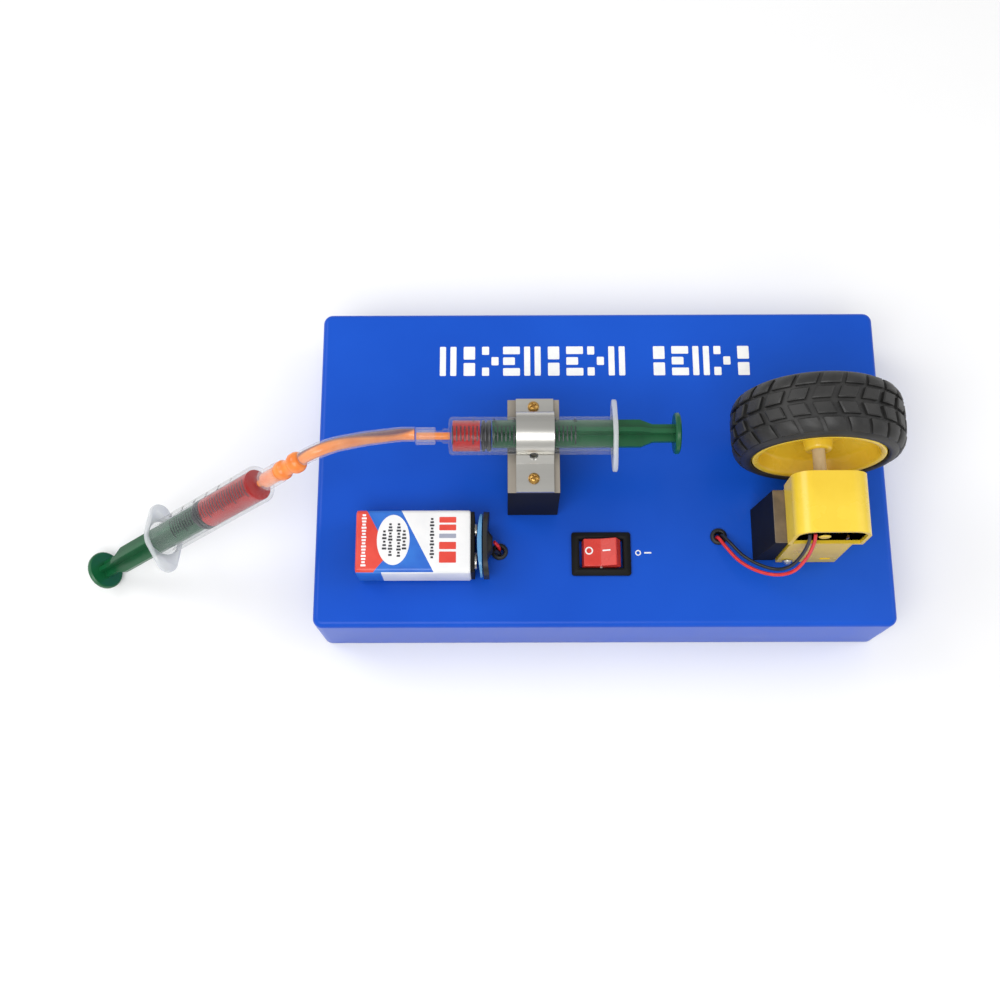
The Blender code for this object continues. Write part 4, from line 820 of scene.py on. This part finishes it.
def build_scale(prefix, place):
    """Ticks every 0.2 ml and a number every 1 ml, worked out from the bore."""
    per_ml = 1e-6 / (math.pi * BORE_RADIUS ** 2)
    ticks_per_ml, most_ml = 5, 6
    start = 1.7 * MM
    side = 1 if prefix == "slave" else -1
    mesh_data = bmesh.new()
    for tick in range(ticks_per_ml * most_ml + 1):
        is_long = tick % ticks_per_ml == 0
        along = start + per_ml * tick / ticks_per_ml
        add_tick(mesh_data, along, -12, 45 if is_long else 35, 0.5 * MM, side)
        if is_long and tick:
            add_numeral(mesh_data, tick // ticks_per_ml, along, math.radians(-34), 3.6 * MM, side)
    piece = make_object(f"{prefix}_scale_marks", mesh_data, [LOOKS["print_black"]], place)
    settle(piece, "base", "clear_plastic")


def build_piston(prefix, place):
    front = FLUIDS[prefix]
    back = front + SEAL_LENGTH
    rib, groove = BORE_RADIUS - 0.1 * MM, BORE_RADIUS - 1.0 * MM
    profile = [
        (0, front), (groove, front + 0.5 * MM), (rib, front + 0.8 * MM), (rib, front + 1.7 * MM),
        (groove, front + 2.0 * MM), (groove, back - 1.8 * MM), (rib, back - 1.5 * MM), (rib, back - 0.3 * MM),
        (groove, back), (0, back),
    ]
    lathe_piece(f"{prefix}_seal", "rubber", soften(profile, 0.2 * MM), (0, 0, 0), "X",
                f"{prefix}_piston", "rubber", [f"{prefix}_piston_seal"], 64, place)
    refined(f"{prefix}_plunger", f"{prefix}_plunger_moulding", 0.22 * MM)

    steps = 24
    low, high = 1.6 * MM, front - 0.05 * MM
    radius = BORE_RADIUS - 0.12 * MM
    surface_points = [(radius, low + (high - low) * step / steps) for step in range(steps + 1)]
    mesh_data = bmesh.new()
    add_lathe(mesh_data, [(0, low - 0.5 * MM)] + surface_points + [(0, high)], axis="X", steps=64)
    fluid = make_object(f"{prefix}_liquid", mesh_data, [LOOKS["red_fluid"]], place)
    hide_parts(f"{prefix}_fluid")
    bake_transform(fluid)


def smooth_curve(route, count):
    """Points evenly spread along a Catmull-Rom curve through a route."""
    knots = [Vector(point) for point in route]
    knots = [2 * knots[0] - knots[1]] + knots + [2 * knots[-1] - knots[-2]]
    fine = []
    for index in range(1, len(knots) - 2):
        p0, p1, p2, p3 = knots[index - 1 : index + 3]
        for step in range(STEPS_PER_SPAN):
            t = step / STEPS_PER_SPAN
            fine.append(0.5 * (2 * p1 + (p2 - p0) * t + (2 * p0 - 5 * p1 + 4 * p2 - p3) * t * t
                               + (3 * p1 - p0 - 3 * p2 + p3) * t ** 3))
    fine.append(knots[-2])
    lengths = [0.0]
    for a, b in zip(fine, fine[1:]):
        lengths.append(lengths[-1] + (b - a).length)
    points, cursor = [], 0
    for number in range(count):
        target = lengths[-1] * number / (count - 1)
        while cursor < len(fine) - 2 and lengths[cursor + 1] < target:
            cursor += 1
        share = (target - lengths[cursor]) / (lengths[cursor + 1] - lengths[cursor])
        points.append(fine[cursor].lerp(fine[cursor + 1], min(max(share, 0), 1)))
    return points, lengths[-1]


def tube_piece(name, look, route, radius, count, body, slot, nodes=()):
    points, length = smooth_curve(route, count)
    curve = bpy.data.curves.new(name, "CURVE")
    curve.dimensions = "3D"
    curve.bevel_depth = radius
    curve.bevel_resolution = 6
    curve.use_fill_caps = True
    spline = curve.splines.new("POLY")
    spline.points.add(len(points) - 1)
    spline.use_smooth = True
    for spline_point, point in zip(spline.points, points):
        spline_point.co = (*point, 1)
    curve.materials.append(LOOKS[look])
    tube = bpy.data.objects.new(name, curve)
    bpy.context.scene.collection.objects.link(tube)
    settle(tube, body, slot, *nodes)
    return tube, length


def build_hose(slave, master):
    bore = TIP_RADIUS + 0.15 * MM

    def sleeve(prefix, place, span, inner, outer):
        low, high = span
        profile = soften([(inner, low), (outer, low), (outer, high), (inner, high)], 0.2 * MM, 3)
        return lathe_piece(f"{prefix}_tip_sleeve", "hose_plastic", profile, (0, 0, 0), "X", "base",
                           "clear_plastic", [f"{prefix}_hose_sleeve"], 48, place)

    slave_sleeve = sleeve("slave", slave, (-13.2 * MM, -5.4 * MM), bore, 3.5 * MM)
    master_sleeve = sleeve("master", master, (-11.5 * MM, -3.3 * MM), 3.15 * MM, 4.2 * MM)
    low, high, body, barb = -25 * MM, -3 * MM, 3.0 * MM, 4.1 * MM
    profile = [
        (0, low), (body, low), (barb, low + 1.6 * MM), (barb, low + 4.2 * MM), (body, low + 5.6 * MM),
        (body, low + 8.6 * MM), (barb * 0.95, low + 9.6 * MM), (barb * 0.95, low + 12.2 * MM),
        (body, low + 13.2 * MM), (body, high), (bore, high), (bore, high - 9.2 * MM), (0, high - 9.2 * MM),
    ]
    connector = lathe_piece("barbed_connector", "orange_plastic", soften(profile, 0.8 * MM), (0, 0, 0),
                            "X", "base", "orange_plastic", ["master_hose_connector"], 48, master)
    core, _ = tube_piece("hose_liquid", "liquid", HOSE_ROUTE, HOSE_RADIUS * 0.78, 48, "base",
                         "hose_plastic")
    hose, length = tube_piece("clear_hose", "hose_plastic", HOSE_ROUTE, HOSE_RADIUS, 48, "base",
                              "hose_plastic", ["hose"])


def build_motor_leads():
    for colour, route in (("red", MOTOR_RED_ROUTE), ("black", MOTOR_BLACK_ROUTE)):
        lead, length = tube_piece(f"motor_wire_{colour}", f"wire_{colour}", route, LEAD_RADIUS, 60,
                                  "base", f"wire_{colour}", [f"motor_lead_{colour}"])


# Wheel


def tread_radius(across):
    """The tread's outer radius at a distance from the middle plane."""
    across = abs(across) / MM
    if across < 6.5:
        return TYRE_RADIUS - 0.3 * MM * (across / 6.5) ** 2
    return TYRE_RADIUS - 0.3 * MM - 0.085 * MM * (across - 6.5) ** 2


def add_tread_block(mesh_data, centre, start, end, near, far, side, depth):
    """One raised block between two arc lengths and two distances from the middle, leaning with distance."""
    shares = (0.0, 0.09, 0.5, 0.91, 1.0)

    def point(share_s, share_y, drop):
        across = near + (far - near) * share_y
        arc_length = start + (end - start) * share_s + TREAD_LEAN * across
        angle = arc_length / TYRE_RADIUS
        radius = tread_radius(across) - drop
        return centre + Vector((radius * math.sin(angle), side * across, radius * math.cos(angle)))

    last = len(shares) - 1
    grid = [[None] * len(shares) for _ in shares]
    for row, share_y in enumerate(shares):
        for column, share_s in enumerate(shares):
            on_edge = row in (0, last) or column in (0, last)
            grid[row][column] = mesh_data.verts.new(point(share_s, share_y, 0.35 * MM if on_edge else 0))
    for row in range(last):
        for column in range(last):
            mesh_data.faces.new((grid[row][column], grid[row][column + 1], grid[row + 1][column + 1],
                                 grid[row + 1][column]))
    loop = [(0, column) for column in range(last)] + [(row, last) for row in range(last)]
    loop += [(last, column) for column in range(last, 0, -1)] + [(row, 0) for row in range(last, 0, -1)]
    foot = [mesh_data.verts.new(point(shares[column], shares[row], depth)) for row, column in loop]
    for index, (row, column) in enumerate(loop):
        after = (index + 1) % len(loop)
        next_row, next_column = loop[after]
        mesh_data.faces.new((grid[row][column], grid[next_row][next_column], foot[after], foot[index]))
    mesh_data.faces.new(foot[::-1])


def build_tyre():
    low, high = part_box("tyre")
    centre, half = (low + high) / 2, (high.y - low.y) / 2
    floor = TYRE_RADIUS - TREAD_DEPTH
    side = [(RIM_SEAT, -half + 0.6 * MM), (27.2 * MM, -half), (29.2 * MM, -half + 0.05 * MM),
            (30.6 * MM, -half + 1.3 * MM), (31.5 * MM, -half + 3.2 * MM), (floor, -half + 6 * MM)]
    profile = side + [(radius, -along) for radius, along in reversed(side)]
    mesh_data = bmesh.new()
    add_lathe(mesh_data, soften(profile, 0.8 * MM, 3), centre, "Y", 132)
    pitch = 2 * math.pi * TYRE_RADIUS / TREAD_PITCHES
    for number in range(TREAD_PITCHES):
        start = pitch * number
        for side_sign in (-1, 1):
            add_tread_block(mesh_data, centre, start, start + 0.72 * pitch, 0.8 * MM, 5.4 * MM, side_sign,
                            1.9 * MM)
            add_tread_block(mesh_data, centre, start + 0.1 * pitch, start + 0.92 * pitch, 6.7 * MM, 11.7 * MM,
                            side_sign, 1.7 * MM)
    settle(make_object("tyre_tread", mesh_data, [LOOKS["tyre_rubber"]], smooth_angle=30), "wheel",
           "tyre_rubber", "tyre")


def build_rim():
    centre = Vector(JOINTS["wheel_spin"]["pos_m"])
    low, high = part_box("wheel_rim")
    lip = (high.y - low.y) / 2
    bore = 2.55 * MM
    profile = [
        (bore, -9.5 * MM), (5.2 * MM, -9.5 * MM), (6.2 * MM, -3.4 * MM), (14 * MM, -2.3 * MM),
        (22.4 * MM, -5.6 * MM), (23.6 * MM, -lip + 0.4 * MM), (24.6 * MM, -lip), (26.1 * MM, -lip),
        (26.2 * MM, lip), (24.6 * MM, lip), (23.6 * MM, lip - 0.4 * MM), (22.8 * MM, -3.2 * MM),
        (14 * MM, 0.5 * MM), (6.2 * MM, 1.0 * MM), (5.2 * MM, 5.8 * MM), (bore, 5.8 * MM),
    ]
    lathe_piece("rim_dish", "yellow_plastic", soften(profile, 1.2 * MM, 5), centre, "Y", "wheel",
                "yellow_plastic", ["wheel_rim"], 120)
    hub_face = centre.y + 5.8 * MM + GAP
    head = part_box("wheel_screw")[1].y - hub_face
    screw_with_recess("wheel_screw_head", "wheel_screw", (centre.x, hub_face, centre.z), "Y", 1, 4 * MM, head)


# Gear motor


def case_outline(inset, steps=14):
    low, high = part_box("motor_cover")
    boot_left, boot_right = low.x + inset, high.x - inset
    left, right = low.x + 1 * MM + inset, high.x - 4.1 * MM - inset
    step_z, top = TOP + 30 * MM + inset, high.z - inset
    corner = CASE_CORNER - inset
    points = [(left, low.z + inset), (right, low.z + inset), (right, step_z), (boot_right, step_z)]
    points += arc(boot_right - corner, top - corner, corner, 0, 90, steps)
    points += arc(boot_left + corner, top - corner, corner, 90, 180, steps)
    return points + [(boot_left, step_z), (left, step_z)]


def build_motor_case():
    low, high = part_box("motor_cover")
    wall = CASE_WALL
    mesh_data = bmesh.new()
    add_prism(mesh_data, case_outline(0), low.y, high.y, "Y")
    case = make_object("motor_case", mesh_data, [LOOKS["yellow_plastic"]])
    hollow = bmesh.new()
    add_prism(hollow, case_outline(wall), low.y + wall, high.y + 1 * MM, "Y")
    combine(case, make_object("case_hollow", hollow), "DIFFERENCE")
    inset = wall + 0.05 * MM
    corner = CASE_CORNER - inset
    sill = TOP + 31.6 * MM
    outline = [(low.x + inset, sill), (high.x - inset, sill)]
    outline += arc(high.x - inset - corner, high.z - inset - corner, corner, 0, 90, 14)
    outline += arc(low.x + inset + corner, high.z - inset - corner, corner, 90, 180, 14)
    window = bmesh.new()
    add_prism(window, outline, low.y - 1 * MM, low.y + wall + 1 * MM, "Y")
    add_prism(window, rounded_rectangle(low.x + 20 * MM, TOP + 6.5 * MM, 2.2 * MM, 1.2 * MM, 0.3 * MM, 3),
              low.y - 1 * MM, low.y + 0.7 * MM, "Y")
    combine(case, make_object("case_window", window), "DIFFERENCE")
    edge_bevel(case, 0.35 * MM)
    settle(case, "base", "yellow_plastic", "motor_cover")

    screw = middle_of("case_screw")
    screw_with_recess("case_screw_head", "case_screw", (screw.x, low.y - GAP, screw.z), "Y", -1, 2.1 * MM,
                      1.3 * MM)
    build_end_cap()


def build_end_cap():
    """The motor's end cap with its bearing boss and a brass terminal."""
    low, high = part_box("motor_end_cap")
    centre = Vector(JOINTS["wheel_spin"]["pos_m"])
    face = low.y
    radius, flat = (high.x - low.x) / 2, (high.z - low.z) / 2
    lean = math.degrees(math.asin(min(flat / radius, 1)))
    outline = arc(centre.x, centre.z, radius, -lean, lean, 16) + arc(centre.x, centre.z, radius, 180 - lean,
                                                                     180 + lean, 16)
    plate = bmesh.new()
    add_prism(plate, outline, face, high.y, "Y")
    # The cap plate wears the yellow case finish in place of its own slot's finish: painted yellow reflection
    # from the case around it.
    add_piece("motor_end_cap_plate", plate, "yellow_plastic", "base",
           SLOT_OF_NODE["motor_end_cap"], "motor_end_cap")
    boss = [(0, face - 0.9 * MM), (1.6 * MM, face - 0.9 * MM), (2.4 * MM, face - 0.6 * MM),
            (2.6 * MM, face + 0.1 * MM), (0, face + 0.1 * MM)]
    # The boss is yellow for the same reason: painted yellow reflection from the case.
    lathe_piece("motor_bearing_boss", "yellow_plastic", soften(boss, 0.2 * MM, 2),
                (centre.x, 0, centre.z), "Y", "base", "yellow_plastic", (), 40)
    tab = bmesh.new()
    terminal = rounded_rectangle(centre.x + 8.4 * MM, centre.z + 1.5 * MM, 0.4 * MM, 1.5 * MM, 0.2 * MM, 3)
    add_prism(tab, terminal, face - 1.6 * MM, face + 0.2 * MM, "Y")
    add_piece("motor_terminal", tab, "brass", "base", "brass")


# Battery


RED, BLUE, WHITE, BLACK = range(4)
LABEL_SIDE = 25.8
# Each line: mm from the battery's left end where it meets the back edge, and mm along for each mm forward.
LABEL_LINES = {"white": (18.1, 0.519), "red_back": (4.16, 0.533), "red_front": (29.3, -0.85),
               "side": (10.5, 0.0)}


def label_look(low, high):
    """Chooses the foil colour of a battery face: red, blue or white, split by slanting lines."""

    def line(name, down):
        start, lean = LABEL_LINES[name]
        return start + lean * down

    def choose(face):
        point = face.calc_center_median()
        along, down = (point.x - low.x) / MM, (high.y - point.y) / MM
        if face.normal.x > 0.9:
            return BLACK
        if down > LABEL_SIDE and face.normal.y < -0.5:
            return WHITE if along > line("side", down) else BLUE
        if along > line("white", down):
            return WHITE
        return RED if along < min(line("red_back", down), line("red_front", down)) else BLUE

    return choose


def build_battery():
    low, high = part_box("battery")
    corner = 2 * MM
    rings = []
    for along, inset in ((0, 0.9), (0.12, 0.5), (0.4, 0.15), (0.9, 0)):
        rings.append((low.x + along * MM, inset * MM))
    rings += [(high.x - (place - low.x), inset) for place, inset in reversed(rings)]
    middle = (low + high) / 2
    half_y, half_z = (high.y - low.y) / 2, (high.z - low.z) / 2
    mesh_data = bmesh.new()
    add_rings(mesh_data, [
        [(place, a, b) for a, b in rounded_rectangle(middle.y, middle.z, half_y - inset, half_z - inset,
                                                     corner - inset * 0.5, 8)]
        for place, inset in rings
    ])
    for start, lean in LABEL_LINES.values():
        origin = Vector((low.x + start * MM, high.y, middle.z))
        direction = Vector((lean, -1, 0)).normalized()
        normal = direction.cross(Vector((0, 0, 1)))
        geometry = mesh_data.verts[:] + mesh_data.edges[:] + mesh_data.faces[:]
        bmesh.ops.bisect_plane(mesh_data, geom=geometry, plane_co=origin, plane_no=normal, dist=0.0005 * MM)
    bmesh.ops.recalc_face_normals(mesh_data, faces=mesh_data.faces)
    mesh_data.normal_update()
    choose = label_look(low, high)
    for face in mesh_data.faces:
        face.material_index = choose(face)
    looks = [LOOKS["battery_label"], LOOKS["foil_blue"], LOOKS["foil_white"], LOOKS["black_plastic"]]
    settle(make_object("battery_case", mesh_data, looks), "base", "battery_label", "battery")
    end_plate = bmesh.new()
    inset = 0.4 * MM
    outline = rounded_rectangle(middle.y, middle.z, half_y - inset, half_z - inset, 2 * MM, 6)
    add_prism(end_plate, outline, high.x - 0.1 * MM, high.x + 1.5 * MM, "X")
    piece = make_object("battery_end_plate", end_plate, [LOOKS["black_plastic"]])
    edge_bevel(piece, 0.3 * MM)
    settle(piece, "base", "battery_label")
    build_battery_print(low, high)


def build_battery_print(low, high):
    """Plain shapes on the battery's label: an oval, bars and rows of dashes, with no lettering."""
    face = (high.z + PRINT_LIFT, high.z + 0.07 * MM)

    def spot(along, down):
        return low.x + along * MM, high.y - down * MM

    oval = bmesh.new()
    centre_x, centre_y = spot(15.2, 12.7)
    outline = [(centre_x + 6.6 * MM * math.cos(a), centre_y + 10.4 * MM * math.sin(a))
               for a in (2 * math.pi * step / 64 for step in range(64))]
    add_prism(oval, outline, *face)
    add_piece("battery_oval", oval, "foil_white", "base", "battery_label")

    upper = (face[1] + 0.01 * MM, face[1] + 0.05 * MM)
    dashes = bmesh.new()
    rows = ((11.6, 8.5, 17.0, upper), (14.0, 5.6, 19.6, upper), (17.4, 5.6, 20.0, upper),
            (19.6, 8.4, 17.0, upper), (30.8, 3.4, 20.6, face))
    for along, first, last, height in rows:
        count = int((last - first) / 1.25)
        for index in range(count):
            a, b = spot(along, first + (index + 0.5) * (last - first) / count)
            half_a = (0.5 + 0.2 * (index * 7 % 3)) * MM
            add_prism(dashes, rounded_rectangle(a, b, half_a, 0.42 * MM, 0.12 * MM, 2), *height)
    add_piece("battery_dashes", dashes, "print_black", "base", "battery_label")

    pale = bmesh.new()
    for index in range(17):
        a, b = spot(3.3, 2.4 + index * 1.3)
        half_a = (0.7 + 0.15 * (index * 5 % 3)) * MM
        add_prism(pale, rounded_rectangle(a, b, half_a, 0.4 * MM, 0.12 * MM, 2), *face)
    add_piece("battery_pale_dashes", pale, "print_white", "base", "battery_label")

    bars = {"red": ((3.2, 5.6), (6.4, 8.8), (13.6, 16.6), (17.6, 22.2)), "grey": ((10.2, 12.0),)}
    for name, spans in bars.items():
        mesh_data = bmesh.new()
        for first, last in spans:
            a, b = spot(37.1, (first + last) / 2)
            outline = rounded_rectangle(a, b, 3.4 * MM, (last - first) / 2 * MM, 0.3 * MM, 3)
            add_prism(mesh_data, outline, *face)
        look = LOOKS["battery_label"] if name == "red" else LOOKS["foil_grey"]
        settle(make_object(f"battery_bars_{name}", mesh_data, [look]), "base", "battery_label")


def build_battery_snap():
    """The snap connector's pale inner plate and soft black cover, their ends bent away from the battery."""
    corner = 6 * MM
    for node, name, front, back in (("snap_plate", "snap_inner_plate", 1.3 * MM, 0.3 * MM),
                                    ("snap_cover", "snap_soft_cover", 0.3 * MM, 1.0 * MM)):
        low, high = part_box(node)
        middle, half = (low.y + high.y) / 2, (high.y - low.y) / 2
        back_face = low.x + 2 * MM
        steps = [2 * step / 24 - 1 for step in range(25)]
        outline = [(low.x + front * share ** 2, middle + half * share) for share in steps]
        outline += [(back_face + back * (share ** 2 - 0.3), middle + half * share)
                    for share in reversed(steps)]
        mesh_data = bmesh.new()
        add_prism(mesh_data, outline, low.z - 1 * MM, high.z + 1 * MM, "Z")
        look = LOOKS["pale_blue"] if node == "snap_plate" else LOOKS["rubber"]
        piece = make_object(name, mesh_data, [look])
        shape = bmesh.new()
        height = min(high.z - low.z, 16.4 * MM) / 2
        edge = rounded_rectangle(middle, (low.z + high.z) / 2, half - 0.01 * MM, height, corner, 10)
        add_prism(shape, edge, low.x - 5 * MM, high.x + 5 * MM, "X")
        combine(piece, make_object("snap_shape", shape), "INTERSECT")
        edge_bevel(piece, 0.25 * MM)
        settle(piece, "base", SLOT_OF_NODE[node], node)
    low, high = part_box("snap_cover")
    boot_y = middle_of("battery_grommet").y + 1.1 * MM
    boot_z = TOP + 8.5 * MM
    rings = []
    for along, a, b in ((1.2, 6.6, 4.4), (2.1, 5.6, 3.8), (2.9, 4.4, 3.2), (3.7, 3.6, 2.8), (3.9, 3.1, 2.4)):
        outline = rounded_rectangle(boot_y, boot_z, a * MM, b * MM, 2 * MM, 6)
        rings.append([(low.x + along * MM, y, z) for y, z in outline])
    mesh_data = bmesh.new()
    add_rings(mesh_data, rings)
    add_piece("snap_lead_boot", mesh_data, "rubber", "base", SLOT_OF_NODE["snap_cover"])


def build_grommets():
    for name in ("battery_grommet", "motor_grommet"):
        middle = middle_of(name)
        low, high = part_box(name)
        flange = (high.x - low.x) / 2
        profile = [(1.9 * MM, low.z), (2.6 * MM, low.z), (2.6 * MM, TOP + 0.1 * MM), (flange, TOP + 0.1 * MM),
                   (flange, TOP + 1.0 * MM), (flange - 0.8 * MM, high.z), (2.1 * MM, high.z),
                   (1.9 * MM, high.z - 0.3 * MM)]
        lathe_piece(f"{name}_ring", "rubber", soften(profile, 0.3 * MM, 3), (middle.x, middle.y, 0),
                    "Z", "base", "rubber", [name], 48)


def main():
    build_camera()
    build_stage(LOOKS["floor"])
    slave, master = syringe_place("slave"), syringe_place("master")
    build_hose(slave, master)
    build_motor_leads()
    dress_cad_nodes()
    build_base()
    build_title()
    build_switch_note()
    build_switch()
    build_clamp()
    build_motor_block()
    for prefix, place in (("slave", slave), ("master", master)):
        build_barrel(prefix, place)
        build_scale(prefix, place)
        build_piston(prefix, place)
    build_tyre()
    build_rim()
    build_motor_case()
    build_battery()
    build_battery_snap()
    build_grommets()


main()
